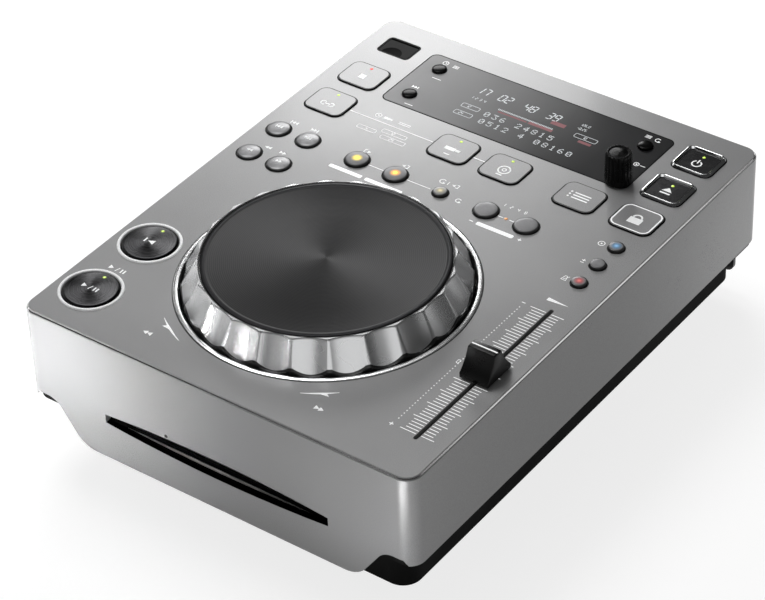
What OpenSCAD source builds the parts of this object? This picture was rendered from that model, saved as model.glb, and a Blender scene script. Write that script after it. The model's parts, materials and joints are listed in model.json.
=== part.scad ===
// Tabletop disc player: scratch wheel, tempo slider, key panel and slot-loading drive.
// Millimetres. The origin is the centre of the footprint at floor level.
// The front is -Y, the player's right is +X and up is +Z.
// Most pieces are drawn under the panel: z = 0 is the panel's top, x = y = 0 its centre.

/* [Body] */
// Height of the silver side walls
side_h = 49.5; // [48:0.5:58]
// Height of the black base below the silver walls
base_h = 28.5; // [26:0.5:36]
// Height of the rubber feet
foot_h = 12; // [8:0.5:16]
// Radius of the rubber feet
foot_r = 12; // [9:0.5:14]
// Wall thickness of the mouldings
wall = 2.5; // [2:0.1:2.8]
// Plan radius of the silver body's upright corners
corner_r = 8; // [6:0.5:10]
// Chamfer round the panel's edge
edge_c = 1.2; // [0.6:0.1:1.6]
// How far the base's sides stand in from the body
base_in = 13.1; // [10:0.1:16]
// How far the base's front stands in from the body
base_front_in = 12.6; // [10:0.1:13]
// Plan radius of the base's upright corners
base_r = 9.5; // [6:0.5:12]
// Thickness of the rear plate
rear_t = 2; // [1:0.1:2.5]

/* [Front wall] */
// How far the front wall's tongue hangs below the side walls
tongue_drop = 18.5; // [14:0.5:20]
// Tongue's upper corners, in from the body's sides
tongue_in = 16.1; // [14:0.1:20]
// How far each slanted side of the tongue draws in from top to bottom
tongue_slant = 14.8; // [10:0.1:18]
// How far the shoulders beside the tongue rise above the side walls' lower edge
shoulder_rise = 3; // [1:0.5:4]
// Half width of the disc slot
slot_half_w = 63; // [61.5:0.1:64]
// Height of the disc slot in the middle
slot_mid_h = 11; // [9:0.1:11]
// Height of the disc slot at its ends
slot_end_h = 4.8; // [4.5:0.1:6]
// Radius of the eject pinhole
pinhole_r = 0.9; // [0.6:0.1:1.2]

/* [Jog wheel] */
// Jog wheel's trim ring, back from the front wall
jog_in = 20.7; // [18:0.1:30]
// Height of the top plate above the panel
jog_top = 14.8; // [12:0.1:16.5]
// Largest radius of the skirt
skirt_r = 66.8; // [60:0.1:72]
// How far the scallop ridges draw in from the skirt's foot to its top
skirt_draw = 7.1; // [5:0.1:8]
// Width of the bright rim round the top plate, at a ridge
rim_w = 2.4; // [2.3:0.1:5]
// How much a scallop's hollow lies inside its ridges
scallop = 1.5; // [0.8:0.1:1.6]
// Number of scallops
scallops = 24; // [18:1:30]
// Gap between the wheel and the trim ring
wheel_gap = 0.6; // [0.4:0.1:1]
// Width of the trim ring
trim_w = 3.1; // [2.6:0.1:4]
// Height of the trim ring above the panel
trim_h = 0.6; // [0.2:0.1:1]
// Radius of the jog spindle
spindle_r = 4; // [3:0.1:5]
// How far the top plate can be pressed
plate_travel = 0.5; // [0.3:0.1:0.6]

/* [Keys] */
// Gap between a key and the hole it moves in
key_gap = 0.3; // [0.2:0.05:0.4]
// Travel of the small keys
key_travel = 0.5; // [0.3:0.1:0.6]
// Height of the domed keys above the panel
key_top = 1.6; // [1:0.1:2.5]
// Height of the flat square keys above the panel
pad_top = 0.8; // [0.4:0.1:1.5]
// Width of the flat square keys
pad_w = 22; // [20:0.5:23]
// Depth of the flat square keys
pad_d = 19; // [17:0.5:20]
// Corner radius of the flat square keys
pad_r = 4.5; // [3:0.5:6]
// Radius of the big round keys
big_key_r = 6; // [5:0.1:6.3]
// Radius of the small round keys
small_key_r = 3.7; // [3:0.1:4]
// Radius of the CUE and PLAY keys
transport_r = 13.6; // [12:0.1:14]
// Width of the bright ring round the CUE and PLAY keys
ring_w = 1.5; // [1:0.1:1.5]
// Height of the bright ring above the panel
ring_h = 0.7; // [0.3:0.1:1.2]
// Width of the chrome frames of the power and eject keys
frame_w = 21.5; // [20:0.1:22]
// Depth of the chrome frames
frame_d = 20; // [18.5:0.1:20.5]
// Width of the chrome frames' border
frame_b = 1.9; // [1.5:0.1:2.2]
// Height of the chrome frames above the panel
frame_h = 1.6; // [1:0.1:2]

/* [Key places] */
// Outer key columns, in from the body's sides
column_in = 20.5; // [20:0.1:22]
// Rearmost key row, forward from the rear edge
row_in = 24.5; // [24:0.1:26]
// Pitch of the three square key rows
row_pitch = 27.6; // [27:0.1:28.5]
// Loop key row, forward from the foremost square key row
loop_in = 32.3; // [31:0.1:40]
// Gap between the loop keys and the jog wheel's trim ring
loop_gap = 8.3; // [7:0.1:14]
// Disc and stick source keys, each side of the centre line
source_x = 15; // [14:0.1:16]
// Playlist key, in from the key column at the right
playlist_in = 31.5; // [29:0.1:34]
// Loop keys, outward from the centre line
loop_pitch = 26.1; // [25:0.1:27]
// Distance between the two keys of a loop pair
loop_pair = 22.5; // [20:0.1:23]
// Outer search keys, in from the left side
search_in = 13; // [12.5:0.1:14]
// Distance between the search key columns
search_dx = 17.8; // [17:0.1:19]
// Distance between the search key rows
search_dy = 23.3; // [20:0.1:24]
// Column of three small keys, in from the right side
trio_in = 16.6; // [15:0.1:20]
// Foremost small key, back from the tempo slider's body
trio_gap = 13; // [9:0.1:14]
// Least room between the tempo lock key and the small keys in front of it
trio_clear = 3; // [2:0.1:8]
// Pitch of the three small keys
trio_pitch = 15.6; // [13:0.1:16]
// CUE and PLAY keys' bright rings, in from the left side
transport_in = 4; // [3.7:0.1:8]
// Gap between the keys' bright rings and the jog wheel's trim ring
transport_gap = 1; // [0.5:0.1:6]
// PLAY key's bright ring, back from the front wall
play_in = 12.2; // [11:0.1:16]
// Pitch of the CUE and PLAY keys
transport_pitch = 42.1; // [34:0.1:46]

/* [Display] */
// Display window's ends, in from the body's sides
window_side = 38.5; // [38:0.1:42]
// Depth of the display window
window_d = 46.3; // [44:0.1:47]
// Thickness of the display window
window_t = 1.4; // [1:0.1:1.6]
// Display window's centre, forward from the rear edge
window_in = 39.4; // [38.5:0.1:40.5]
// Columns of the window's small keys, in from the window's ends
window_key_in = 10.2; // [8:0.1:12]
// Width of the display module
module_w = 78; // [74:1:84]
// Depth of the display module
module_d = 30; // [26:1:32]

/* [Selector knob] */
// Knob's axis, in from the window's right end
knob_side = 5.5; // [5:0.1:8]
// Knob's axis, forward from the rear edge
knob_in = 58.5; // [58:0.1:59]
// Radius of the knob at its foot
knob_r = 6.7; // [6:0.1:7]
// Height of the knob's top above the panel
knob_top = 17.3; // [14:0.1:20]
// Radius of the encoder's shaft
shaft_r = 3; // [2.5:0.1:3.2]

/* [Tempo slider] */
// Slider's cap, in from the right side
tempo_in = 8.1; // [8:0.1:12]
// Gap between the slider's cap and the jog wheel's trim ring
tempo_gap = 17.7; // [15:0.1:24]
// Slider's body, back from the front wall
tempo_front = 14.6; // [14.6:0.1:20]
// Travel of the slider each way
tempo_travel = 50; // [40:1:50]
// Width of the slider's slot
tempo_slot_w = 2.2; // [1.8:0.1:2.6]
// Width of the slider's cap
cap_w = 15.4; // [13:0.1:16]
// Length of the slider's cap
cap_d = 18.4; // [15:0.1:20]
// Height of the cap's top above the panel
cap_top = 14.2; // [12:0.1:16]

/* [USB well] */
// Width of the well
well_w = 19.4; // [18.5:0.1:20]
// Well's centre, forward from the rear edge
well_in = 22.3; // [21.8:0.1:23]
// Depth of the well, front to rear
well_d = 14.2; // [13.5:0.1:15]
// Depth of the well below the panel
well_h = 8.5; // [8:0.1:9]

/* [Disc drive] */
// Disc plane above the silver walls' lower edge
disc_up = 5.1; // [5:0.1:5.5]
// Disc centre, back from the front wall
disc_back = 92; // [88:0.5:98]
// How much wider than the disc slot the drive's chassis is, each side
drive_side = 5; // [4.5:0.5:10]
// Height of the drive's chassis below the disc bay
drive_h = 21.1; // [20:0.1:22]
// Depth of the drive's chassis behind the disc's centre
drive_back = 74; // [68:0.5:80]
// Travel of the pickup sled
sled_travel = 34; // [30:1:36]
// Radius of the loading roller's rubber
roller_r = 4; // [3:0.1:4.2]

/* [Rear sockets] */
// Radius of the line-out sockets' shells
phono_r = 4.15; // [4:0.05:4.3]
// Length of the line-out sockets' shells behind the rear plate
phono_len = 10; // [8:0.5:12]
// Radius of the control socket's bore
jack_r = 1.8; // [1.75:0.05:1.85]
// Height of the sockets' axis above the silver walls' lower edge
socket_up = 22; // [20:0.5:24]
// Mains inlet's centre, in from the base's side
inlet_in = 33.9; // [33:0.1:36]

/* [Hidden] */
$fn = 64;
rim_fn = 360;           // facets where a large circle has to be smooth
fit_gap = 0.1;          // round fixed pieces let into another piece
body_gap = 0.3;         // between bodies that move past each other
run_gap = 0.05;         // radial running fit of a shaft in its bore
joint_over = 0.01;      // overlap of solids that are one piece

trim_in_r = skirt_r + wheel_gap;
trim_r = trim_in_r + trim_w;
ridge_r = skirt_r - skirt_draw;
plate_r = ridge_r - rim_w;
transport_out = transport_r + key_gap + ring_w;
fader_half = tempo_travel + 13;

// the body is as wide and deep as the key fields, the jog wheel and the slider need
body_w = transport_in + 2 * transport_out + transport_gap + 2 * trim_r + tempo_gap + cap_w + tempo_in;
jog_column = jog_in + 2 * trim_r + loop_gap + big_key_r + loop_in;
tempo_column = tempo_front + 2 * fader_half + trio_gap + 2 * trio_pitch + small_key_r + trio_clear + pad_d / 2;
body_d = max(jog_column, tempo_column) + 2 * row_pitch + row_in;

panel_z = foot_h + base_h + side_h;
front_y = -body_d / 2;
rear_y = body_d / 2;
left_x = -body_w / 2;
right_x = body_w / 2;
body_cy = -(rear_t + phono_len) / 2;
base_z = -side_h - base_h;
inner_y = front_y + wall;

row_a = rear_y - row_in;
row_b = row_a - row_pitch;
row_c = row_b - row_pitch;
row_l = row_c - loop_in;
column_l = left_x + column_in;
well_y = rear_y - well_in;
column_r = right_x - column_in;
window_w = body_w - 2 * window_side;
window_y = rear_y - window_in;
window_key_x = window_w / 2 - window_key_in;
playlist_x = column_r - playlist_in;
knob_x = window_w / 2 - knob_side;
window_row_a = window_y + 12.3;
window_row_b = window_y - 13.3;
knob_y = rear_y - knob_in;
tempo_x = right_x - tempo_in - cap_w / 2;
tempo_y = front_y + tempo_front + fader_half;
transport_x = left_x + transport_in + transport_out;
play_y = front_y + play_in + transport_out;
cue_y = play_y + transport_pitch;
jog_x = transport_x + transport_out + transport_gap + trim_r;
jog_y = front_y + jog_in + trim_r;
search_x = left_x + search_in;
trio_x = right_x - trio_in;
trio_y = tempo_y + fader_half + trio_gap + 2 * trio_pitch;

// key board and the switches on it
board_z = -12;
board_t = 1.6;
board_margin = 3.5;
board_hole_r = trim_r + 1;
switch_h = 3.5;
switch_s = 6;
stem_r = 1.6;
stem_in = 0.8;
flange_t = 1;
flange_w = 1;
flange_z = -wall - body_gap;
stem_z = board_z + switch_h - stem_in;

// jog wheel, from the top down
trim_step = 1.4;
trim_wall = 1;
well_r = trim_in_r + trim_wall + fit_gap;
skirt_bottom = -5;
skirt_t = 2;
plate_t = 2;
web_t = 2.5;
web_top = jog_top - plate_t - plate_travel - body_gap;
cone_slope = 0.545;
cone_end = jog_top - (skirt_r - ridge_r) / cone_slope;
hub_r = 12;
bracket_z = -9;
bracket_t = 1.6;
bracket_r = skirt_r - 0.8;
lug_r = trim_r + 5.5;
lug_pad_r = 4;
lug_angles = [45, 135, 225, 315];
bush_r = 8;
bush_h = 10;
encoder_r = 22;
encoder_t = 1;
encoder_z = bracket_z - bracket_t - bush_h - 1.5;

// fixings
boss_r = 3.5;
screw_r = 1.4;
screw_head_r = 2.6;
screw_head_h = 1.8;
post_x = body_w / 2 - 9.5;
post_y = body_d / 2 - 9;
foot_x = body_w / 2 - base_in - 28;
foot_rear_y = rear_y - 34;
foot_front_y = front_y + base_front_in + 27.4;
plate_screw_x = body_w / 2 - 27;
plate_screw_z = [-14, -side_h + 8];
board_posts = [[left_x + 8, row_c - 17.5], [right_x - 8, row_c - 13.5], [left_x + 7.5, cue_y - 21.1],
    [right_x - 6.5, tempo_y], [-37, row_c - 18], [37, row_c - 18]];

// disc drive
disc_z = -side_h + disc_up;
bay_h = 4.6;
bay_top = disc_z + 2.3;
bay_bottom = bay_top - bay_h;
disc_y = front_y + disc_back;
drive_half_w = slot_half_w + drive_side;
tongue_high = body_w / 2 - tongue_in;
tongue_low = tongue_high - tongue_slant;
drive_front = inner_y + base_front_in + 2.4;
drive_rear = disc_y + drive_back;
drive_t = 1.5;
drive_floor = bay_bottom - 0.2 - drive_h;
deck_z = bay_bottom - 0.2;
deck_t = 1.8;
lid_z = bay_top + 0.2;
roller_z = deck_z - roller_r;
roller_y = drive_front + 7.5;
rail_r = 1.5;
rail_x = 17;
rail_z = disc_z - 13;
rail_front = disc_y + 17;
sled_w = 46;
sled_d = 16;
sled_y = disc_y + 26;
screw_x = -27;
lead_r = 1.6;
damper_h = drive_floor - (base_z + wall);
damper_x = drive_half_w - 9;
damper_front = drive_front + 18;
damper_rear = drive_rear - 14;
hub_turn_r = 14.5;
motor_r = 12.5;

// boards on the base's floor, behind the drive
post_in = 4;
shelf_h = 6;
shelf_z = base_z + wall + shelf_h;
boards_half_w = body_w / 2 - base_in - wall - 6;
boards_front = drive_rear + 6;
boards_rear = rear_y - wall - 8;
boards_split = 14;

// rear sockets, left to right as seen from behind
socket_z = -side_h + socket_up;
phono_x = [-22, -38];
jack_x = -58;
usb_b_x = -78;
inlet_x = body_w / 2 - base_in - inlet_in;
inlet_w = 27.5;
inlet_h = 19.6;

// [name, x, y, radius, key top] of every round key
ROUND_KEYS = [
    ["track_back_key", search_x, row_l, big_key_r, key_top],
    ["track_forward_key", search_x + search_dx, row_l, big_key_r, key_top],
    ["search_back_key", search_x, row_l - search_dy, big_key_r, key_top],
    ["search_forward_key", search_x + search_dx, row_l - search_dy, big_key_r, key_top],
    ["loop_in_key", -loop_pitch - loop_pair, row_l, big_key_r, key_top],
    ["loop_out_key", -loop_pitch, row_l, big_key_r, key_top],
    ["reloop_key", 0, row_l, small_key_r, key_top],
    ["beat_minus_key", loop_pitch, row_l, big_key_r, key_top],
    ["beat_plus_key", loop_pitch + loop_pair, row_l, big_key_r, key_top],
    ["vinyl_key", trio_x, trio_y, small_key_r, key_top],
    ["tempo_range_key", trio_x, trio_y - trio_pitch, small_key_r, key_top],
    ["master_tempo_key", trio_x, trio_y - 2 * trio_pitch, small_key_r, key_top],
    ["time_key", -window_key_x, window_row_a, small_key_r, key_top],
    ["auto_cue_key", -window_key_x, window_row_b, small_key_r, key_top],
    ["back_key", window_key_x, window_row_a, small_key_r, key_top],
    ["cue_key", transport_x, cue_y, transport_r, key_top],
    ["play_key", transport_x, play_y, transport_r, key_top],
];

// [name, x, y] of every flat square key
PAD_KEYS = [
    ["stop_key", column_l, row_b],
    ["link_key", column_l, row_c],
    ["stick_source_key", -source_x, row_c],
    ["disc_source_key", source_x, row_c],
    ["playlist_key", playlist_x, row_c],
    ["tempo_lock_key", column_r, row_c],
];

// [name, x, y] of the two framed keys
FRAMED_KEYS = [
    ["power_key", column_r, row_a],
    ["eject_key", column_r, row_b],
];

// ---------------------------------------------------------------- shared shapes

// Places its children on the panel: z = 0 is the panel's top.
module on_panel(x = 0, y = 0, z = 0) {
    translate([x, body_cy + y, panel_z + z]) children();
}

// Flat rectangle with round corners, centred.
module round_rect(w, d, r) {
    square([w - 2 * r, d], center = true);
    square([w, d - 2 * r], center = true);
    for (sx = [-1, 1], sy = [-1, 1])
        translate([sx * (w / 2 - r), sy * (d / 2 - r)]) circle(r);
}

// Upright plate with round corners, from its own z = 0 up.
module slab(w, d, r, h) {
    linear_extrude(h) round_rect(w, d, r);
}

// What a fillet of radius r takes off (or fills in) at corner p between directions a and b.
module corner_sliver(p, a, b, r) {
    m = (a + b) / norm(a + b);
    half = acos(a * b) / 2;
    c = p + m * r / sin(half);
    difference() {
        polygon([p, p + a * r / tan(half), c, p + b * r / tan(half)]);
        translate(c) circle(r);
    }
}

// Plate in the XZ plane, from y up to y + t.
module upright(y, t) {
    translate([0, y + t, 0]) rotate([90, 0, 0]) linear_extrude(t) children();
}

// Rod along Y.
module rod_y(r, from, to) {
    translate([0, from, 0]) rotate([-90, 0, 0]) cylinder(r = r, h = to - from);
}

// Rod along X.
module rod_x(r, from, to) {
    translate([from, 0, 0]) rotate([0, 90, 0]) cylinder(r = r, h = to - from);
}

// ---------------------------------------------------------------- outer shells

// Rounded block with a chamfer round its top edge, from z = -h up to z = 0.
module chamfered_block(w, d, r, h, c) {
    translate([0, 0, -h]) slab(w, d, r, h - c);
    translate([0, 0, -c]) {
        rotate([90, 0, 90]) translate([0, 0, -w / 2 + r]) linear_extrude(w - 2 * r)
            polygon([[-d / 2, 0], [d / 2, 0], [d / 2 - c, c], [-d / 2 + c, c]]);
        rotate([90, 0, 0]) translate([0, 0, -d / 2 + r]) linear_extrude(d - 2 * r)
            polygon([[-w / 2, 0], [w / 2, 0], [w / 2 - c, c], [-w / 2 + c, c]]);
        for (sx = [-1, 1], sy = [-1, 1])
            translate([sx * (w / 2 - r), sy * (d / 2 - r), 0]) cylinder(r1 = r, r2 = r - c, h = c);
    }
}

// Front wall's tongue with its slanted sides, seen from the front.
module tongue_outline() {
    low = -side_h - tongue_drop;
    high = -side_h + shoulder_rise;
    slant = [tongue_high - tongue_low, high - low];
    up = slant / norm(slant);
    difference() {
        polygon([[-tongue_high, high], [-tongue_low, low], [tongue_low, low], [tongue_high, high]]);
        corner_sliver([tongue_low, low], [-1, 0], up, 14);
        mirror([1, 0]) corner_sliver([tongue_low, low], [-1, 0], up, 14);
    }
    for (s = [0, 1])
        mirror([s, 0]) corner_sliver([tongue_high, high], [1, 0], -up, 10);
    translate([0, high + 1]) square([2 * tongue_high + 8, 2], center = true);
}

// Region taken off the front wall's lower edge, both sides of the tongue.
module shoulder_outline() {
    top = -side_h + shoulder_rise;
    edge = body_w / 2 - 3;
    polygon([[-edge, -side_h - 1], [-edge + shoulder_rise, top], [edge - shoulder_rise, top],
        [edge, -side_h - 1]]);
}

// Lens-shaped disc slot, seen from the front.
module slot_outline() {
    sag = (slot_mid_h - slot_end_h) / 2;
    big_r = (slot_half_w * slot_half_w + sag * sag) / (2 * sag);
    intersection() {
        square([2 * slot_half_w, slot_mid_h + 1], center = true);
        translate([0, slot_mid_h / 2 - big_r]) circle(big_r, $fn = 4 * rim_fn);
        translate([0, big_r - slot_mid_h / 2]) circle(big_r, $fn = 4 * rim_fn);
    }
}

// Everything cut through the panel.
module panel_holes() {
    translate([jog_x, jog_y, 0]) {
        translate([0, 0, -wall - 1]) cylinder(r = well_r, h = wall + 2, $fn = rim_fn);
        translate([0, 0, -trim_step]) cylinder(r = trim_r + fit_gap, h = trim_step + 1, $fn = rim_fn);
    }
    for (k = ROUND_KEYS) if (k[3] != transport_r)
        translate([k[1], k[2], -wall - 1]) cylinder(r = k[3] + key_gap, h = wall + 2);
    for (y = [cue_y, play_y])
        translate([transport_x, y, -wall - 1])
            cylinder(r = transport_r + key_gap + 0.7 + fit_gap, h = wall + 2);
    for (k = PAD_KEYS)
        translate([k[1], k[2], -wall - 1])
            slab(pad_w + 2 * key_gap, pad_d + 2 * key_gap, pad_r + key_gap, wall + 2);
    for (k = FRAMED_KEYS)
        translate([k[1], k[2], -wall - 1])
            slab(frame_w - 2 + 2 * fit_gap, frame_d - 2 + 2 * fit_gap, 3 + fit_gap, wall + 2);
    translate([0, window_y, -window_t])
        slab(window_w + 2 * fit_gap, window_d + 2 * fit_gap, 3.5, window_t + 1);
    translate([0, window_y, -wall - 1]) slab(module_w, module_d, 1, wall + 2);
    translate([knob_x, knob_y, -wall - 1]) cylinder(r = shaft_r + body_gap, h = wall + 2);
    translate([column_l, well_y, -wall - 1]) slab(well_w + 2 * fit_gap, well_d + 2 * fit_gap, 2.5, wall + 2);
    translate([tempo_x, tempo_y, -wall - 1])
        slab(tempo_slot_w, 2 * tempo_travel + 6.4, tempo_slot_w / 2 - joint_over, wall + 2);
}

// Silver top case: panel, side walls, rear wall and front wall with its tongue.
module top_case() {
    inner_r = corner_r - wall;
    color("silver") on_panel() difference() {
        union() {
            difference() {
                chamfered_block(body_w, body_d, corner_r, side_h, edge_c);
                translate([0, 0, -side_h - 1])
                    slab(body_w - 2 * wall, body_d - 2 * wall, inner_r, side_h + 1 - wall);
                upright(front_y - 1, 6.9) shoulder_outline();
            }
            upright(front_y, wall) tongue_outline();
            for (sx = [-1, 1], sy = [-1, 1])
                translate([sx * post_x, sy * post_y, -side_h])
                    cylinder(r = boss_r, h = side_h - wall + joint_over);
            for (p = board_posts)
                translate([p[0], p[1], board_z]) cylinder(r = 2.5, h = -board_z - wall + joint_over);
            for (a = lug_angles) translate([jog_x, jog_y, 0]) rotate(a) translate([lug_r, 0, bracket_z])
                cylinder(r = boss_r, h = -bracket_z - wall + joint_over);
        }
        panel_holes();
        upright(front_y - 1, wall + 2) translate([0, disc_z]) slot_outline();
        upright(front_y - 1, wall + 2) translate([-27, disc_z + slot_mid_h / 2 + 0.9]) circle(pinhole_r);
        upright(rear_y - wall - 1, wall + 2) rear_openings(1);
        for (sx = [-1, 1], sy = [-1, 1])
            translate([sx * post_x, sy * post_y, -side_h - 1]) cylinder(r = screw_r + run_gap, h = 13);
        for (a = lug_angles) translate([jog_x, jog_y, 0]) rotate(a) translate([lug_r, 0, bracket_z - 1])
            cylinder(r = screw_r + run_gap, h = 6);
        for (x = [-1, 1], z = plate_screw_z) upright(rear_y - wall - 1, wall + 2)
            translate([x * plate_screw_x, z]) circle(screw_r + run_gap);
    }
}

// Openings for the socket blocks, larger all round by grow.
module rear_openings(grow) {
    g = 2 * grow;
    translate([(phono_x[0] + phono_x[1]) / 2, socket_z]) square([29 + g, 12 + g], center = true);
    translate([jack_x, socket_z]) square([9 + g, 9 + g], center = true);
    translate([usb_b_x, socket_z]) square([12 + g, 11 + g], center = true);
    translate([inlet_x, socket_z]) square([inlet_w + g, inlet_h + g], center = true);
}

// Black base: tub with a brim that the silver walls stand on.
module base_tub() {
    tub_w = body_w - 2 * base_in;
    tub_d = body_d - base_front_in;
    tub_y = base_front_in / 2;
    brim_in = 1.2;
    brim_front = inner_y + 0.25;
    brim_rear = rear_y - brim_in;
    color([0.05, 0.05, 0.06]) on_panel() difference() {
        union() {
            translate([0, tub_y, base_z]) slab(tub_w, tub_d, base_r, base_h);
            translate([0, (brim_front + brim_rear) / 2, -side_h - wall])
                slab(body_w - 2 * brim_in, brim_rear - brim_front, corner_r - brim_in, wall);
            for (sx = [-1, 1], sy = [-1, 1]) translate([sx * damper_x, 0, base_z + wall - joint_over])
                translate([0, sy > 0 ? damper_rear : damper_front, 0]) cylinder(r = 2.5, h = 3);
        }
        translate([0, tub_y, base_z + wall])
            slab(tub_w - 2 * wall, tub_d - 2 * wall, base_r - wall, base_h + 1);
        for (sx = [-1, 1], sy = [-1, 1])
            translate([sx * post_x, sy * post_y, -side_h - wall - 1])
                cylinder(r = screw_r + 0.2, h = wall + 2);
        foot_places() translate([0, 0, base_z - 1]) cylinder(r = screw_r + run_gap, h = wall + 2);
        for (sx = [-1, 1], i = [0 : 7]) translate([sx * 45, drive_rear + 12 + 7 * i, base_z - 1])
            slab(50, 2.4, 1.19, wall + 2);
    }
}

module foot_places() {
    for (sx = [-1, 1], sy = [-1, 1])
        translate([sx * foot_x, sy > 0 ? foot_rear_y : foot_front_y, 0]) children();
}

// Black steel plate screwed on the back, with the socket holes.
module rear_plate() {
    tub_w = body_w - 2 * base_in;
    plate_w = body_w - 40;
    color([0.07, 0.07, 0.08]) on_panel() difference() {
        upright(rear_y, rear_t) {
            translate([0, (base_z - 8) / 2]) round_rect(tub_w - 10, -base_z - 8, 3);
            translate([0, (base_z + 1 - side_h) / 2]) round_rect(tub_w, base_h + 1, 4);
            translate([0, -(side_h + 8) / 2]) round_rect(plate_w, side_h - 8, 3);
        }
        upright(rear_y - 1, rear_t + 2) {
            for (x = phono_x) translate([x, socket_z]) circle(phono_r + 1.1);
            translate([jack_x, socket_z]) circle(3.2);
            translate([usb_b_x, socket_z]) square([12.2, 11.2], center = true);
            translate([inlet_x, socket_z]) square([inlet_w + 0.2, inlet_h + 0.2], center = true);
            for (x = [-1, 1], z = plate_screw_z) translate([x * plate_screw_x, z]) circle(screw_r + 0.2);
        }
    }
}

// Four rubber feet.
module feet() {
    color([0.08, 0.08, 0.08]) on_panel() foot_places() translate([0, 0, base_z - foot_h]) difference() {
        union() {
            cylinder(r = foot_r - 1, h = 2);
            translate([0, 0, 1.5]) cylinder(r = foot_r, h = foot_h - 1.5);
        }
        translate([0, 0, -1]) cylinder(r = screw_head_r + 0.8, h = foot_h - 3);
        cylinder(r = screw_r + 0.2, h = foot_h + 1);
    }
}

// One pan-head screw: the head's seat is at z = 0 and the shank points up.
module screw(len) {
    translate([0, 0, -screw_head_h]) difference() {
        cylinder(r = screw_head_r, h = screw_head_h);
        for (a = [0, 90]) rotate(a) translate([-1.6, -0.3, -1]) cube([3.2, 0.6, 1.9]);
    }
    translate([0, 0, -joint_over]) cylinder(r = screw_r, h = len);
}

// All screws: case, feet, jog bracket, rear plate and the drive's lid with its spacers.
module screws() {
    color([0.2, 0.2, 0.21]) on_panel() {
        lid_screw_places() {
            translate([0, 0, lid_z + drive_t]) mirror([0, 0, 1]) screw(lid_z + drive_t - deck_z + deck_t);
            translate([0, 0, deck_z]) cylinder(r = screw_head_r, h = lid_z - deck_z);
        }
        for (sx = [-1, 1], sy = [-1, 1]) translate([sx * post_x, sy * post_y, -side_h - wall]) screw(12);
        foot_places() translate([0, 0, base_z - 4]) screw(4 + wall);
        for (a = lug_angles) translate([jog_x, jog_y, 0]) rotate(a)
            translate([lug_r, 0, bracket_z - bracket_t]) screw(5.5);
        for (x = [-1, 1], z = plate_screw_z)
            translate([x * plate_screw_x, rear_y + rear_t, z]) rotate([90, 0, 0]) screw(rear_t + wall);
    }
}

// ---------------------------------------------------------------- jog wheel

// Bright ring let into the panel round the wheel, with a funnel inner edge.
module jog_trim() {
    color([0.85, 0.86, 0.88]) on_panel(jog_x, jog_y) rotate_extrude($fn = rim_fn)
        polygon([[trim_in_r, -6], [trim_in_r + trim_wall, -6], [trim_in_r + trim_wall, -trim_step],
            [trim_r, -trim_step], [trim_r, trim_h - 0.4], [trim_r - 0.4, trim_h],
            [trim_in_r + 1.2, trim_h], [trim_in_r, trim_h - 1.6]]);
}

// Chrome skirt with finger scallops, its web and its hub.
module jog_wheel() {
    groove_r = scallop_groove_r();
    inner_r = skirt_r - skirt_t - scallop;
    tilt = atan(cone_slope);
    color([0.8, 0.81, 0.83]) on_panel(jog_x, jog_y) difference() {
        rotate_extrude($fn = rim_fn) polygon([
            [spindle_r + 2 + fit_gap / 2, web_top - web_t - 4], [hub_r, web_top - web_t - 4],
            [hub_r, web_top - web_t],
            [inner_r - (web_top - web_t - cone_end) * cone_slope, web_top - web_t], [inner_r, cone_end],
            [inner_r, skirt_bottom], [skirt_r, skirt_bottom], [skirt_r, cone_end], [ridge_r, jog_top],
            [plate_r + body_gap, jog_top], [plate_r + body_gap, web_top],
            [spindle_r + 2 + fit_gap / 2, web_top]]);
        for (i = [0 : scallops - 1]) rotate(i * 360 / scallops)
            translate([ridge_r - scallop + groove_r * cos(tilt), 0, jog_top + groove_r * sin(tilt)])
                rotate([0, 180 - tilt, 0]) translate([0, 0, -30]) cylinder(r = groove_r, h = 60, $fn = 180);
    }
}

// Radius of the scallop cylinders: they meet at the ridges and are `scallop` deep.
function scallop_groove_r() =
    let (half = ridge_r * sin(180 / scallops),
        deep = scallop - ridge_r * (1 - cos(180 / scallops)))
    (half * half + deep * deep) / (2 * deep);

// Black spun plate in the top of the wheel; it can be pressed.
module jog_plate() {
    color([0.12, 0.12, 0.13]) on_panel(jog_x, jog_y) rotate_extrude($fn = rim_fn)
        polygon([[0, jog_top - plate_t], [plate_r, jog_top - plate_t], [plate_r, jog_top - 0.4],
            [plate_r - 0.4, jog_top], [plate_r - 2, jog_top], [plate_r - 3, jog_top - 0.3],
            [0, jog_top - 0.3]]);
}

// Steel shaft with the flange that carries the wheel and the slotted encoder disc.
module jog_spindle() {
    hub_top = web_top - 0.5;
    flange_top = web_top - web_t - 4;
    color([0.6, 0.6, 0.62]) on_panel(jog_x, jog_y) {
        translate([0, 0, encoder_z - 3]) cylinder(r = spindle_r, h = bracket_z + 1 - encoder_z + 3);
        translate([0, 0, bracket_z + body_gap])
            cylinder(r = hub_r - 1, h = flange_top - bracket_z - body_gap);
        cylinder(r = spindle_r + 2, h = hub_top);
        translate([0, 0, encoder_z]) difference() {
            cylinder(r = encoder_r, h = encoder_t);
            for (i = [0 : 35]) rotate(10 * i) translate([encoder_r - 4, -0.6, -1])
                cube([3, 1.2, encoder_t + 2]);
        }
        translate([0, 0, encoder_z + encoder_t - joint_over]) cylinder(r = spindle_r + 2, h = 0.5);
    }
}

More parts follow.
